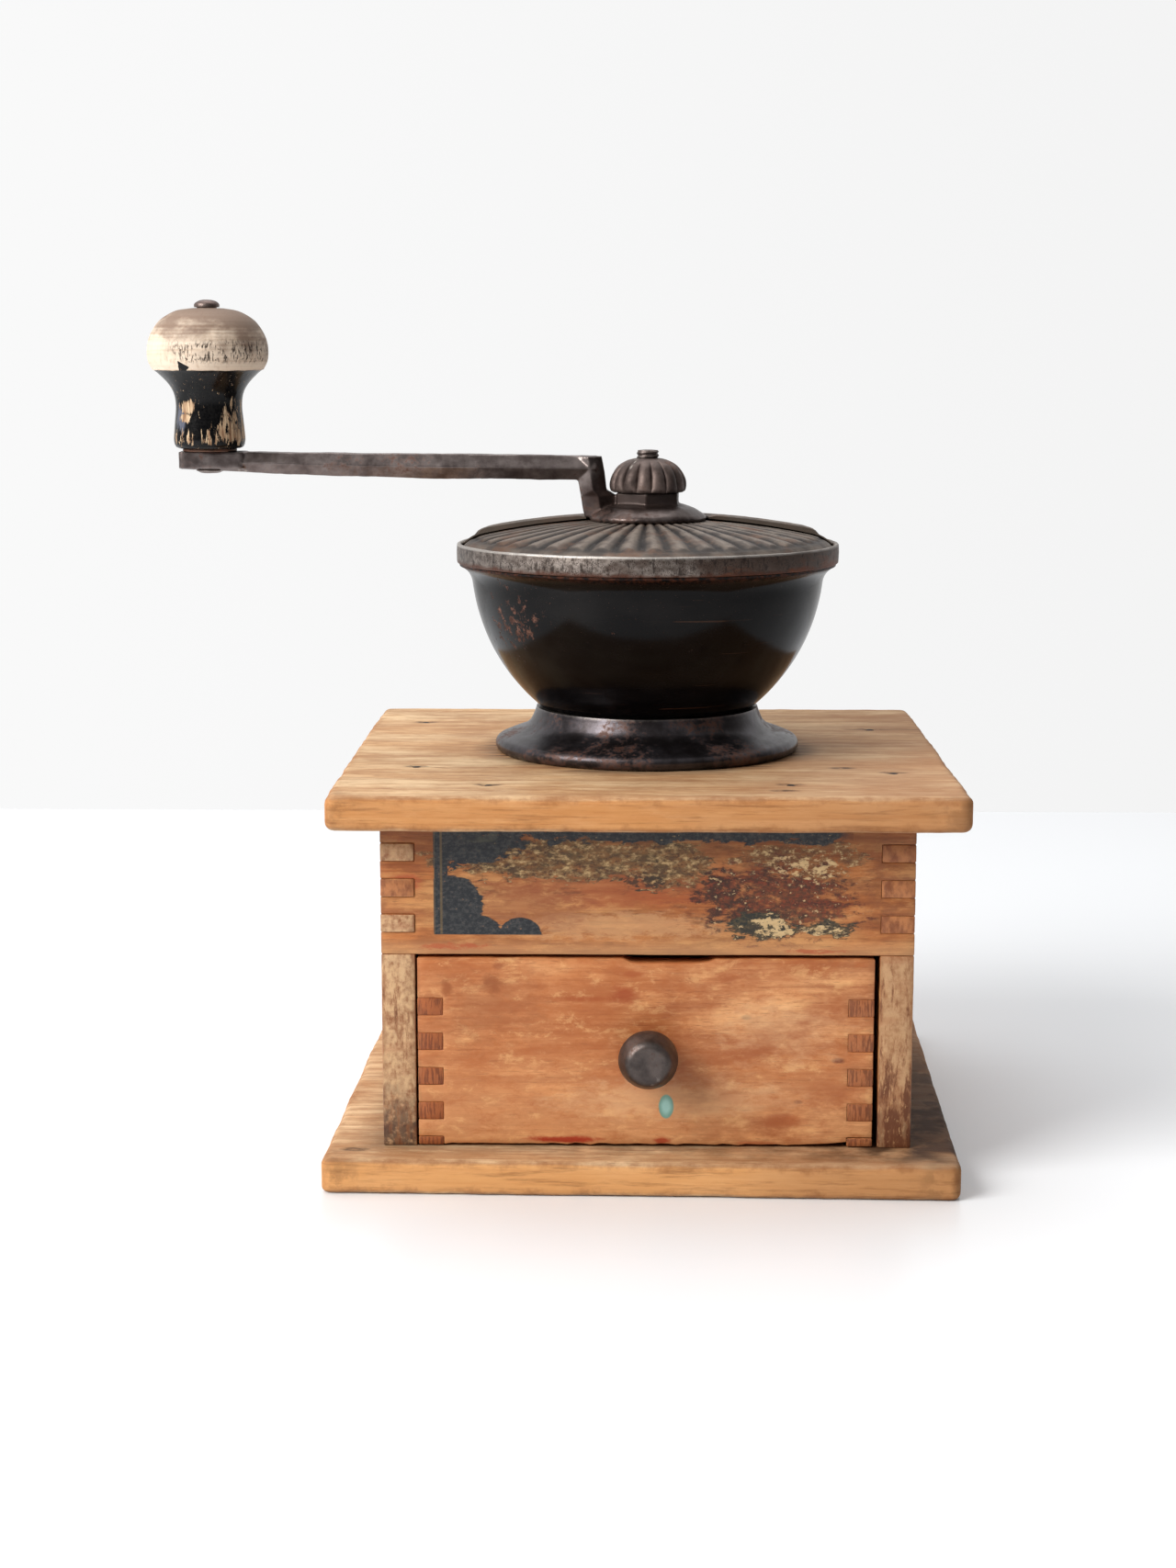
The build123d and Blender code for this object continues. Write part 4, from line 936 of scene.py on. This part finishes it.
def build_boards():
    """Top and base boards, worn round at their arrises, and the heads of the nails in the top."""

    def board(node, low, high, coat, seeds, dents=()):
        piece = make_piece("worn_" + node, slab(low, high, board_corner, board_arris, seeds[0], dents),
                           "case", node, coat)
        roughen(piece, [(0.16, 30), (0.07, 7)], seeds[1])
        return piece

    coat = board_coat("board_wood_top", top_low, top_high, [*top_nails, *nail_marks], 0.0,
                      collar=collar_radius)
    top = board("top_board", top_low, top_high, coat, (1.3, 2.0), (-70.0, 70.0))
    reshape(top, dented)
    coat = board_coat("board_wood_base", base_low, base_high, [(-81.0, -80.0)], 40.0, case=(-face_y, -face_y))
    base = board("base_board", base_low, base_high, coat, (7.7, 5.0))
    base.rotation_euler[Z] = math.radians(base_skew)
    reshape(top, lambda *place: tuple(np.clip(place, top_low, top_high)))
    reshape(base, lambda *place: tuple(np.clip(place, base_low, base_high)))
    coat = grey_coat("nail_steel", tone(58, 50, 46), tone(30, 26, 24), 0.5, 0.6)
    make_piece("nail_heads", merge(*(nail_head(u, v) for u, v in top_nails)), "case",
               "top_board_nails", coat)


def dented(x, y, z):
    """Sinks the top board's face round each nail."""
    if z < top_high[Z] - 1.0:
        return x, y, z
    near = min(math.hypot(x - u, y - v) for u, v in top_nails)
    return x, y, z - nail_sink * max(0.0, 1 - (near / nail_dent) ** 2)


def nail_head(u, v):
    """Small lumpy head of a cut nail and the start of its shank, sunk in the top board."""
    profile = moved((0.0, deck_z), (0.0, -6.0), (0.9, -6.0), (0.95, -1.0), (1.35, -0.8), (1.3, -0.35),
                    (0.8, -0.12), (0.0, -0.08))

    def lumpy(radius, height, angle):
        return radius * (1 + 0.16 * wobble((u + math.cos(angle), v + math.sin(angle), 0), 1.1))

    return lathe(profile, 14, (u, v), False, lumpy)


def finger_edges(centres):
    """Lower and upper edge of each finger."""
    return [centre + way * finger / 2 for centre in centres for way in (-1, 1)]


def worn_panel(node, body, coat, breaks, thin_axis, solid, seed, bevel=0.4):
    """One wall of a finger-jointed box, with eased and slightly uneven arrises.

    Breaks holds the grid lines that each axis needs, and solid says which cells are filled.
    """
    low, high = box_mm(node)
    lines = [spread(low[axis], high[axis], 3.2 if axis == thin_axis else 2.2, breaks.get(axis, ()))
             for axis in (X, Y, Z)]
    piece = make_piece("worn_" + node, block(lines, solid), body, node, coat)
    bevel_arrises(piece, bevel)
    roughen(piece, [(0.10, 18), (0.05, 3.5)], seed)
    shade(piece.data, 38)
    return piece


finger = 5.08
case_wall = 9.5
rail_fingers = [opening_z + 6.4 + finger / 2 + 2 * finger * i for i in range(3)]
back_fingers = [rail_fingers[2] - 2 * finger * i for i in range(9)]


def in_fingers(z, centres):
    """Whether a height lies in one of the fingers."""
    return any(abs(z - centre) < finger / 2 for centre in centres)


def build_case():
    """Front, back and side walls of the case."""
    inner_x, inner_y = -box_mm("left_side")[0][X] - case_wall, -face_y - case_wall
    rails, backs = finger_edges(rail_fingers), finger_edges(back_fingers)
    coats = (box_coat("front_panel", X, 3.0, tone(150, 96, 56), front=True),
             box_coat("back_panel", X, 23.0, tone(168, 112, 66)))
    for node, fingers, edges, coat, seed in (("front_panel", rail_fingers, rails, coats[0], 11.0),
                                             ("back_panel", back_fingers, backs, coats[1], 12.0)):
        worn_panel(node, "case", coat, {X: (-inner_x, inner_x), Z: edges}, Y,
                   lambda x, y, z: abs(x) < inner_x or not in_fingers(z, fingers), seed)

    def side_solid(x, y, z):
        if y < -inner_y:
            return z < opening_z or in_fingers(z, rail_fingers)
        return y < inner_y or in_fingers(z, back_fingers)

    middle = (rail_fingers[1] - finger / 2, rail_fingers[1] + finger / 2)
    for side, shift, faded in (("left_side", 33.0, middle), ("right_side", 47.0, (opening_z, deck_z))):
        piece = worn_panel(side, "case", box_coat(side, Y, shift, tone(212, 176, 134), faded),
                           {Y: (-inner_y, inner_y), Z: (*rails, *backs, opening_z)}, X, side_solid, shift)
        if side == "left_side":
            reshape(piece, proud_fingers)


def proud_fingers(x, y, z):
    """The left wall's finger ends stand a little proud of the front."""
    if z > opening_z + 1 and y < face_y + 1.5:
        y -= 0.45 * min(1.0, face_y + 1.5 - y)
    return x, y, z


def build_drawer():
    """The drawer's five boards. It sits a little to the left, so its right gap is the wider one."""
    low, high = box_mm("drawer_front")
    wall = high[Y] - low[Y]
    foot = low[Z] + 2.4
    fingers = [low[Z] + 10.02 + 2 * finger * i for i in range(4)]
    edges = (*finger_edges(fingers), foot)
    inner_x = high[X] - wall
    front_y, back_y = low[Y] + wall, box_mm("drawer_back")[1][Y] - wall
    dark_end, pale_end = tone(124, 62, 36), tone(166, 100, 60)

    def end_solid(x, y, z):
        return abs(x) < inner_x or not (in_fingers(z, fingers) or z < foot)

    def side_solid(x, y, z):
        return front_y < y < back_y or in_fingers(z, fingers) or z < foot

    def broken_edges(x, y, z):
        """Wears the front's top edge down and breaks its lower edge away."""
        upper, lower = max(0.0, (z - high[Z] + 4) / 4), max(0.0, (low[Z] + 3 - z) / 3)
        return x, y, z - drawer_notch(x) * upper + drawer_chips(x) * lower

    across, along = {X: (-inner_x, inner_x), Z: edges}, {Y: (front_y, back_y), Z: edges}
    for node, axis, shift, end, breaks, thin_axis, solid, seed, bevel in (
            ("drawer_front", X, 6.0, dark_end, across, Y, end_solid, 21.0, 0.35),
            ("drawer_back", X, 61.0, dark_end, across, Y, end_solid, 22.0, 0.35),
            ("drawer_left_side", Y, 71.0, dark_end, along, X, side_solid, 71.0, 0.35),
            ("drawer_right_side", Y, 83.0, pale_end, along, X, side_solid, 83.0, 0.35),
            ("drawer_bottom", X, 91.0, pale_end, {}, Z, None, 24.0, 0.3)):
        front = node == "drawer_front"
        piece = worn_panel(node, "drawer", drawer_coat(node, axis, shift, end, front), breaks,
                           thin_axis, solid, seed, bevel)
        if front:
            reshape(piece, broken_edges)
        reshape(piece, lambda x, y, z: (x * 0.9954 - 0.45, y, z))


def drawer_chips(x):
    """How far the drawer front's lower edge is broken away, most at its right end."""
    return max(0.0, 0.55 * wobble((x, 0, 0), 3.5, 2.0) + 0.45 + 0.9 * min(1.0, max(0.0, (x - 46) / 12)))


def drawer_notch(x):
    """How far the drawer front's top edge is worn down: a chipped dip beside the middle."""
    dip = 1.35 * max(0.0, 1 - ((x - 6.5) / 13.2) ** 10) * (1 + 0.25 * wobble((x, 0, 0), 4, 6.0))
    return dip + 0.22 * (1 + wobble((x, 0, 0), 9, 4.0)) + 0.12 * wobble((x, 0, 0), 2.5, 8.0)


def build_drawer_knob():
    """Mushroom knob of dark iron, turned about an axis that points to the front."""
    reach = face_y - drawer_knob_y
    outline = soften([(0.0, 0.0), (5.2, 0.0), (4.5, 1.2), (5.2, 3.9), (8.2, 6.5), (8.5, 8.2), (8.0, 9.9),
                      (6.4, 13.0), (5.2, reach - 0.25), (0.0, reach)], 1.0, 4, False)
    points, faces = lathe(outline, 96, closed=False)
    points = [(x, face_y - z, drawer_knob_z + y) for x, y, z in points]
    coat = iron_coat("drawer_knob_iron", tone(66, 60, 58), tone(104, 94, 90), tone(104, 74, 60), 0.45, 0.25,
                     3.0, (0.32, 0.50), 0.8, 0.08)
    knob = make_piece("turned_drawer_knob", (points, faces), "drawer", "drawer_knob",
                      coat, 50)
    roughen(knob, [(0.10, 6), (0.04, 1.6)], 3.0)
    reshape(knob, lambda x, y, z: (x + 0.35, max(y, drawer_knob_y), z))


# ================================================================ hopper
neck_radius = collar_radius - 12.3
mouth_z = lip_z - 5.5


def build_collar():
    """Flared iron collar: rolled foot, cove and upright neck."""
    edge = (collar_radius, deck_z)
    foot = arc(*moved(edge, (-1.6, 0.0), (0.0, 2.0), (-1.2, 4.2)), 8)
    cove = curve([*moved(edge, (-1.2, 4.2), (-4.6, 5.6), (-8.2, 6.9), (-10.6, 8.8), (-11.9, 11.4)),
                  (neck_radius, neck_z - 1.0)], 5)
    lip = [(neck_radius - 0.3, neck_z - 0.1), (25.2, neck_z - 0.05), (25.2, neck_z - 2.4)]
    under = arc((neck_radius - 2.6, neck_z - 3.2), *moved(edge, (-12.0, 4.8), (-7.0, 0.1)), 10)
    coat = iron_coat("collar_iron", tone(48, 43, 44), tone(80, 76, 80), tone(98, 72, 62), 0.54, 0.35, 12.0,
                     (0.22, 0.42), 0.85, 0.06)
    collar = make_piece("flared_collar", lathe([*foot, *cove[1:], *lip, *under], 160), "case",
                        "hopper_collar", coat, 50)
    roughen(collar, [(0.10, 14), (0.03, 2.5)], 6.0)
    reshape(collar, lambda x, y, z: (x, y, min(max(z, deck_z), neck_z)))


def bowl_arc(sphere, low_z, high_z, steps):
    """The bowl's round wall between two heights, for one sphere radius."""
    inset, centre_z = -4.54, mouth_z + 6.65
    heights = [low_z + (high_z - low_z) * i / steps for i in range(steps + 1)]
    return [(inset + math.sqrt(sphere**2 - (centre_z - z) ** 2), z) for z in heights]


def build_bowl():
    """Black bowl: a round wall that flares to a rolled rim under the lid's band."""
    outer = bowl_arc(57.9, neck_z, mouth_z, 26)
    inner = bowl_arc(55.9, neck_z + 2.0, mouth_z, 22)[::-1]
    flare = arc(outer[-1], (54.5, mouth_z + 3.2), (56.8, lip_z - 0.7), 7)[1:]
    rim = moved((0.0, lip_z), (56.9, -0.1), (56.0, 0.0), (56.0, 1.2), (53.4, 1.2), (53.4, -0.6))
    socket = moved((0.0, neck_z), (22.6, 2.0), (22.6, -2.3), (24.8, -2.3), (24.8, 0.0))
    bowl = make_piece("japanned_bowl", lathe([*outer, *flare, *rim, *inner, *socket], 192), "case",
                      "hopper_bowl", enamel_coat("black_enamel"), 50)
    roughen(bowl, [(0.10, 26), (0.03, 5)], 9.0)


ribs_per_half, rib_shift, rib_end = 21, 0.77, 52.0
lid_edge = 55.6


def dome_height(radius):
    """Height of the fixed half lid's surface, at the foot of its ribs."""
    sphere = 240.0
    shoulder = 1.8 * max(0.0, (radius - 49.5) / 6.1) ** 2
    return dome_top_z + 0.4 - (sphere - math.sqrt(sphere**2 - radius**2)) - shoulder


def rib_rise(radius, angle, inner, tall):
    """Height of the rounded ribs above the dome, with a groove between each two and round ends."""
    turn = math.pi / ribs_per_half
    place = angle / turn + rib_shift
    index = math.floor(place)
    across = abs((place - index) * 2 - 1 + 0.10 * wobble((index * 7.0, radius * 0.4, 0), 9.0))
    ahead = min(1.0, max(0.0, (rib_end + 0.5 * wobble((index * 5.0, 0, 0), 3.0) - radius) / 4.0))
    width = math.sqrt(1 - (1 - ahead) ** 2)
    if width < 0.05:
        return 0.0
    crown = 1 - min(1.0, across / width) ** 2.6
    rise = 0.55 + (tall - 0.55) * (radius - inner) / (rib_end - inner)
    uneven = 1 + 0.15 * wobble((index * 3.1, radius, 0), 14.0)
    return rise * crown * width**0.7 * min(1.0, max(0.0, (radius - inner) / 2.0)) * uneven


def lid_half(start, stop, inner, drop, rim, tall, under_side):
    """One half of the lid between two angles: ribbed on top, smooth below, closed at its edges.

    It lies a drop below the dome. Rim holds its radii past the shoulder, tall is the ribs' height there,
    and under_side is how far its smooth face lies below.
    """
    samples = ribs_per_half * 12
    shoulder = [lid_edge - gap for gap in (2.6, 2.1, 1.7, 1.4, 1.1, 0.7, 0.2)]
    radii = [inner, inner + 0.5, *np.linspace(inner + 1.2, lid_edge - 3.2, 34), *shoulder, *rim]
    angles = np.linspace(start, stop, samples + 1)
    points, faces = [], []

    def upper(radius, angle):
        sunk = drop * (1 - 0.5 * min(1.0, max(0.0, (radius - rib_end + 2.0) / 3.5)))
        if radius > lid_edge - 0.3:
            return dome_height(lid_edge) - sunk - 0.5 - (radius - lid_edge) * 0.35
        return dome_height(radius) - sunk - 0.45 + rib_rise(radius, angle, inner, tall)

    def lower(radius, angle):
        return dome_height(min(radius, lid_edge)) - drop - under_side

    def sheet(height):
        """Adds a grid of points and gives back its rows, one for each radius."""
        first, width = len(points), samples + 1
        points.extend((radius * math.cos(angle), radius * math.sin(angle), height(radius, angle))
                      for radius in radii for angle in angles)
        return [range(first + i * width, first + (i + 1) * width) for i in range(len(radii))]

    top, under = sheet(upper), sheet(lower)
    for i in range(len(radii) - 1):
        for k in range(samples):
            faces.append([top[i][k], top[i + 1][k], top[i + 1][k + 1], top[i][k + 1]])
            faces.append([under[i][k], under[i][k + 1], under[i + 1][k + 1], under[i + 1][k]])
        for k in (0, samples):
            faces.append([top[i][k], under[i][k], under[i + 1][k], top[i + 1][k]])
    for i in (0, -1):
        for k in range(samples):
            faces.append([top[i][k], top[i][k + 1], under[i][k + 1], under[i][k]])
    return points, faces


def build_lid():
    """Band, fixed rear half and turning front half."""
    coat = band_coat("lid_iron")
    profile = moved((band_radius, lip_z), (-1.7, 0.05), (-0.15, 0.05), (0.0, 3.0), (-0.1, 5.8), (-0.9, 6.0),
                    (-1.7, 5.5))
    band = make_piece("lid_band", lathe(soften(profile, 0.5), 216), "case", "lid_ring", coat, 50)
    roughen(band, [(0.12, 16), (0.08, 3.0)], 4.0)
    rear = lid_half(0.0, math.pi, 18.6, 0.0, [56.4, 57.0], 1.3, 0.90)
    front = lid_half(math.pi - 0.03, math.tau + 0.03, 13.0, 1.65, [55.75], 0.88, 1.15)
    for name, shape, body, node in (("lid_rear_half", rear, "case", "lid_ring"),
                                    ("lid_front_half", front, "door", "lid_door")):
        roughen(make_piece(name, shape, body, node, coat, 50), [(0.04, 5), (0.03, 1.6)], 8.0)


# ================================================================ crank, nut and spindle
def hexagon(half):
    """Section of the arm: 5 mm from its middle to its side ridges, and a given half height."""
    return [(5.0 * u, half * v) for u, v in ((1, 0), (0.5, 1), (-0.5, 1), (-1, 0), (-0.5, -1), (0.5, -1))]


def loft(sections):
    """A closed shell through sections of equal point counts."""
    count = len(sections[0])
    points = [point for section in sections for point in section]
    faces = []
    for start in range(0, len(points) - count, count):
        for i in range(count):
            j = (i + 1) % count
            faces.append([start + i, start + j, start + count + j, start + count + i])
    faces.append(list(range(count))[::-1])
    faces.append(list(range(len(points) - count, len(points))))
    return points, faces


def fuse(piece, voxel, smooth_times):
    """Melts a piece's overlapping shells into one skin and eases its arrises."""
    remesh = piece.modifiers.new("fuse", "REMESH")
    remesh.mode, remesh.voxel_size = "VOXEL", voxel * MM
    ease = piece.modifiers.new("ease", "SMOOTH")
    ease.factor, ease.iterations = 0.5, smooth_times
    ready = bpy.data.meshes.new_from_object(piece.evaluated_get(bpy.context.evaluated_depsgraph_get()))
    piece.modifiers.clear()
    old, name = piece.data, piece.data.name
    piece.data = ready
    bpy.data.meshes.remove(old)
    ready.name = name
    shade(ready, 80)


def build_crank():
    """Forged arm with a hexagonal section, domed hub and hexagonal neck, melted into one skin."""
    bar = [[(x, u, (top + bottom) / 2 + v) for u, v in hexagon((top - bottom) / 2)] for x, top, bottom in (
        (arm_end_x + 0.6, 203.4, 198.4), (-128, 203.6, 197.9), (-109, 203.5, 196.9), (-69, 203.1, 195.8),
        (-30, 202.8, 195.4), (-15.5, 202.5, 195.4))]
    leg = [[((left + right) / 2 + v, u, z) for u, v in hexagon((right - left) / 2)] for z, left, right in (
        (202.3, -21.6, -13.9), (197.5, -21.3, -13.0), (192.4, -20.5, -12.4), (190.6, -20.2, -9.4),
        (186.0, -19.5, -8.6), (184.2, -19.0, -8.2))]
    pad = soften(moved((arm_end_x, 0.0), (0.0, -5.6), (20.0, -5.2), (20.0, 5.2), (0.0, 5.6)), 2.2, 4)
    pad = [[(x, y, z) for x, y in pad] for z in (198.6, pad_z - 0.1)]
    base = (0.0, hub_z)
    edge = soften(moved(base, (0.1, 0.05), (17.3, 0.05), (17.8, 1.0), (17.2, 1.9)), 0.4, 3, False)
    dome = arc(*moved(base, (17.2, 1.9), (13.6, 4.1), (9.2, 5.2)), 8)
    hub = [(0.0, hub_z + 0.05), *edge, *dome[1:], (0.0, hub_z + 5.4)]
    corner = 9.15 / math.cos(math.pi / 6)
    turns = [math.radians(27 + 60 * i) for i in range(6)]
    neck = [[(corner * math.cos(turn), corner * math.sin(turn), z) for turn in turns]
            for z in (hub_z + 3, nut_z - 0.1)]
    shape = merge(loft(bar), loft(leg), loft(pad), lathe(hub, 96, closed=False), loft(neck))
    coat = iron_coat("crank_iron", tone(82, 72, 70), tone(126, 116, 113), tone(110, 76, 60), 0.46, 0.42, 5.0,
                     (0.26, 0.46), 0.85, 0.07, centre=tone(50, 35, 29))
    crank = make_piece("forged_crank", shape, "crank", "crank_arm", coat)
    fuse(crank, 0.34, 3)
    roughen(crank, [(0.22, 12), (0.08, 2.6)], 7.0)
    reshape(crank, lambda x, y, z: (max(x, arm_end_x), y, min(max(z, hub_z), pad_z)))
    shade(crank.data, 80)


def build_nut():
    """Fluted dome nut with fifteen lobes and a flat underside."""
    base, bore, lobes = (0.0, nut_z), 3.45, 15
    wall = curve(moved(base, (11.55, 1.1), (11.6, 2.8), (10.9, 5.2), (9.1, 7.7), (6.2, 9.4), (4.0, 10.0)), 5)
    profile = [*moved(base, (bore, 0.0), (10.5, 0.0), (11.2, 0.35)), *wall, (bore, nut_top_z)]

    def flute(radius, height, angle):
        rise = (height - nut_z) / (nut_top_z - nut_z)
        rise = min(1.0, max(0.0, (rise - 0.02) * 1.05))
        deep = 0.13 * math.sin(math.pi * rise) ** 0.6 if radius > 4.5 else 0.0
        lobe = abs(math.cos(lobes / 2 * angle)) ** 0.55
        place = (radius * math.cos(angle), radius * math.sin(angle), height)
        return radius * (1 - deep * (1 - lobe)) + 0.12 * wobble(place, 4)

    coat = iron_coat("nut_iron", tone(66, 54, 50), tone(118, 102, 96), tone(118, 80, 62), 0.5, 0.6, 9.0,
                     (0.44, 0.66), 0.65, 0.09)
    nut = make_piece("fluted_nut", lathe(profile, 240, radius_at=flute), "nut", "adjusting_nut",
                     coat, 60)
    roughen(nut, [(0.05, 1.3)], 2.0)


def build_spindle():
    """Steel spindle: bearing journals, square shank and threaded end with its turns showing."""
    square, pitch, thread_step = 6.86 / 2, 1.27, 0.16
    journal_top = hub_z - 1.5
    thread_start = nut_z - 1.4
    low = [(0.0, spindle_low_z), (3.2, spindle_low_z), (4.0, spindle_low_z + 0.8), (4.0, 100.0), (5.0, 100.2),
           (5.0, journal_top), (square, journal_top + 0.1), (square, thread_start)]
    steps = int((spindle_top_z - 0.5 - thread_start) / thread_step)
    thread = [(3.4, thread_start + 0.1 + thread_step * i) for i in range(steps)]
    end = [(3.0, spindle_top_z - 0.15), (1.4, spindle_top_z), (0.0, spindle_top_z)]

    def turns(radius, height, angle):
        if journal_top < height < thread_start + 0.05:
            return square / max(abs(math.cos(angle)), abs(math.sin(angle)))
        if height < thread_start or radius < 3.3:
            return radius
        phase = (height / pitch - angle / math.tau) % 1.0
        return radius - 0.45 * abs(2 * phase - 1)

    coat = grey_coat("spindle_steel", tone(116, 106, 102), tone(70, 60, 56), 0.34, 0.85, 5.0)
    make_piece("threaded_spindle", lathe([*low, *thread, *end], 64, closed=False, radius_at=turns), "spindle",
               "spindle", coat, 50)


def build_knob():
    """Turned knob on the crank's pin."""
    base = (0.0, knob_z)
    waist = curve(moved(base, (10.5, 1.2), (10.7, 3.2), (10.3, 7.6), (9.9, 12.6), (10.4, 16.4), (12.0, 19.3),
                        (14.6, 22.0), (16.2, 23.3)), 5)
    cap = curve(moved(base, (16.55, 23.35), (17.75, 25.8), (18.1, 28.8), (17.55, 32.4), (15.9, 35.7),
                      (13.6, 38.3), (9.6, 40.6), (5.6, 41.4)), 6)
    profile = [*moved(base, (3.1, 0.05), (9.3, 0.05), (10.1, 0.4)), *waist, (16.25, knob_z + 23.45), *cap,
               *moved(base, (4.6, 41.5), (3.1, 41.5))]
    knob = make_piece("turned_knob", lathe(profile, 160, (crank_x, 0.0)), "knob", "handle_knob",
                      knob_coat("knob_wood"), 50)
    roughen(knob, [(0.07, 7), (0.025, 1.4)], 3.0)
    far_x = box_mm("handle_knob")[0][X] + 0.01
    reshape(knob, lambda x, y, z: (max(x, far_x), y, z))


def build_pin():
    """The pin that the knob turns on, riveted over below the arm and hammered to a head on top."""
    foot = pad_z - 5.4
    head = arc((3.5, knob_top_z + 1.4), (2.2, knob_top_z + 2.15), (0.6, pin_top_z - 0.05), 5)
    profile = [(0.0, pin_low_z), (2.8, pin_low_z + 0.1), (4.2, foot - 0.4), (4.1, foot - 0.02), (2.9, foot),
               (2.9, pad_z), *moved((0.0, knob_top_z), (2.95, 0.15), (3.75, 0.2), (3.8, 0.9)), *head,
               (0.0, pin_top_z)]
    coat = iron_coat("pin_iron", tone(88, 72, 68), tone(128, 110, 104), tone(104, 70, 56), 0.35, 0.4, 15.0,
                     (0.34, 0.52), 0.8)
    pin = make_piece("riveted_pin", lathe(profile, 48, (crank_x, 0.0), False), "crank",
                     "handle_pin", coat, 50)
    roughen(pin, [(0.10, 2.2)], 5.0)
    reshape(pin, lambda x, y, z: (x, y, min(max(z, pin_low_z), pin_top_z - 0.001)))


def build_washer():
    """Rusty washer between the knob and the arm."""
    low, high = box_mm("knob_washer")[0][Z], box_mm("knob_washer")[1][Z]
    ring = soften([(3.05, low), (8.1, low), (8.1, high), (3.05, high)], 0.25, 2)
    coat = iron_coat("washer_iron", tone(74, 52, 42), tone(110, 84, 68), tone(120, 70, 44), 0.8, 0.3, 25.0)
    make_piece("rusty_washer", lathe(ring, 64, (crank_x, 0.0)), "crank", "knob_washer", coat,
               50)


# ================================================================ inner parts, kept as CAD
def coat_inner_parts():
    """Materials of the CAD nodes that show only through the openings, from below or with the drawer out."""
    cast = iron_coat("burr_iron", tone(72, 68, 66), tone(104, 100, 96), tone(96, 66, 48), 0.3, 0.5, 19.0)
    steel = grey_coat("fastener_steel", tone(96, 90, 86), tone(58, 54, 52), 0.38, 0.7, 8.0)
    pin = grey_coat("cone_pin_steel", tone(128, 126, 126), tone(78, 74, 72), 0.34, 0.85, 15.0)
    kept = {
        cast: ("upper_bridge", "lower_bridge", "grinding_ring", "grinding_cone"),
        steel: ("base_board_nails", "bowl_rivets", "bridge_rivets", "housing_bolts", "bridge_screws",
                "drawer_brads", "drawer_knob_screw"),
        pin: ("cone_pin",),
    }
    for coat, nodes in kept.items():
        for node in nodes:
            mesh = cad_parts[node].data
            mesh.materials.clear()
            mesh.materials.append(coat.material)
            shade(mesh, 30)


# ================================================================ stage, light and camera
class Room(Coat):
    """Brightness of the room by direction: a light wall behind, a dark room in front."""

    def __init__(self, name):
        self.material = bpy.data.worlds.new(name)
        self.material.use_nodes = True
        self.tree = self.material.node_tree
        coords = self.add("ShaderNodeTexCoord")
        self.x, self.y, self.z = self.split(coords.outputs["Generated"])
        seen = Value(self, self.add("ShaderNodeLightPath").outputs["Is Camera Ray"])
        back = self.y.smooth(0.05, 0.70)
        over = self.z.smooth(0.15, 0.90)
        left = self.x.smooth(-0.1, -0.9)
        room = back * 0.80 + (over * 0.38 + left * 0.26 + 0.04) * (1 - back)
        wall = self.x.smooth(0.3, -0.3) * 0.05 + 0.90
        background = self.tree.nodes["Background"]
        self.put(background, "Strength", room + (wall - room) * seen)
        background.inputs["Color"].default_value = (1.0, 1.0, 1.0, 1.0)


def build_stage():
    """Pale table top that ends behind the object, under soft light from the upper left."""
    back, side = 527, 3000
    points = [(-side, -side, 0), (side, -side, 0), (side, back, 0), (-side, back, 0)]
    mesh = bpy.data.meshes.new("table_top")
    mesh.from_pydata([[c * MM for c in p] for p in points], [], [[0, 1, 2, 3]])
    floor = bpy.data.objects.new("table_top", mesh)
    bpy.context.collection.objects.link(floor)
    coat = Coat("table_top")
    soft = coat.noise(300, 1, 0.4, 1)
    coat.colour = coat.mix(soft, tone(238, 240, 243), tone(241, 243, 246))
    coat.finish(0.34)
    mesh.materials.append(coat.material)
    bpy.context.scene.world = Room("studio").material

    for name, place, size, power, colour in (
            ("window", (-1.30, -0.95, 1.15), (1.1, 1.1), 43.0, (1.0, 0.985, 0.96)),
            ("overhead", (-0.2, 0.5, 1.7), (1.4, 1.0), 11.0, (1.0, 1.0, 1.0))):
        light = bpy.data.lights.new(name, "AREA")
        light.shape, light.size, light.size_y = "RECTANGLE", *size
        light.energy, light.color = power, colour
        lamp = bpy.data.objects.new(name, light)
        bpy.context.collection.objects.link(lamp)
        lamp.location = place
        lamp.rotation_euler = (Vector((0, 0, 0.12)) - Vector(place)).to_track_quat("-Z", "Y").to_euler()


def build_camera():
    """The camera at the photograph's height, distance and tilt."""
    camera = bpy.data.objects.new("camera", bpy.data.cameras.new("camera"))
    bpy.context.collection.objects.link(camera)
    camera.location = (-0.0040, -0.7943, 0.2355)
    camera.rotation_euler = (math.radians(90 - 9.52), 0.0, math.radians(1.01))
    camera.data.sensor_width, camera.data.lens = 36.0, 60.18
    camera.data.clip_start, camera.data.clip_end = 0.01, 20.0
    bpy.context.scene.camera = camera
    bpy.context.scene.view_settings.view_transform = "Standard"


build_stage()
build_camera()
build_boards()
build_case()
build_drawer()
build_drawer_knob()
build_collar()
build_bowl()
build_lid()
build_crank()
build_nut()
build_spindle()
build_knob()
build_pin()
build_washer()
coat_inner_parts()
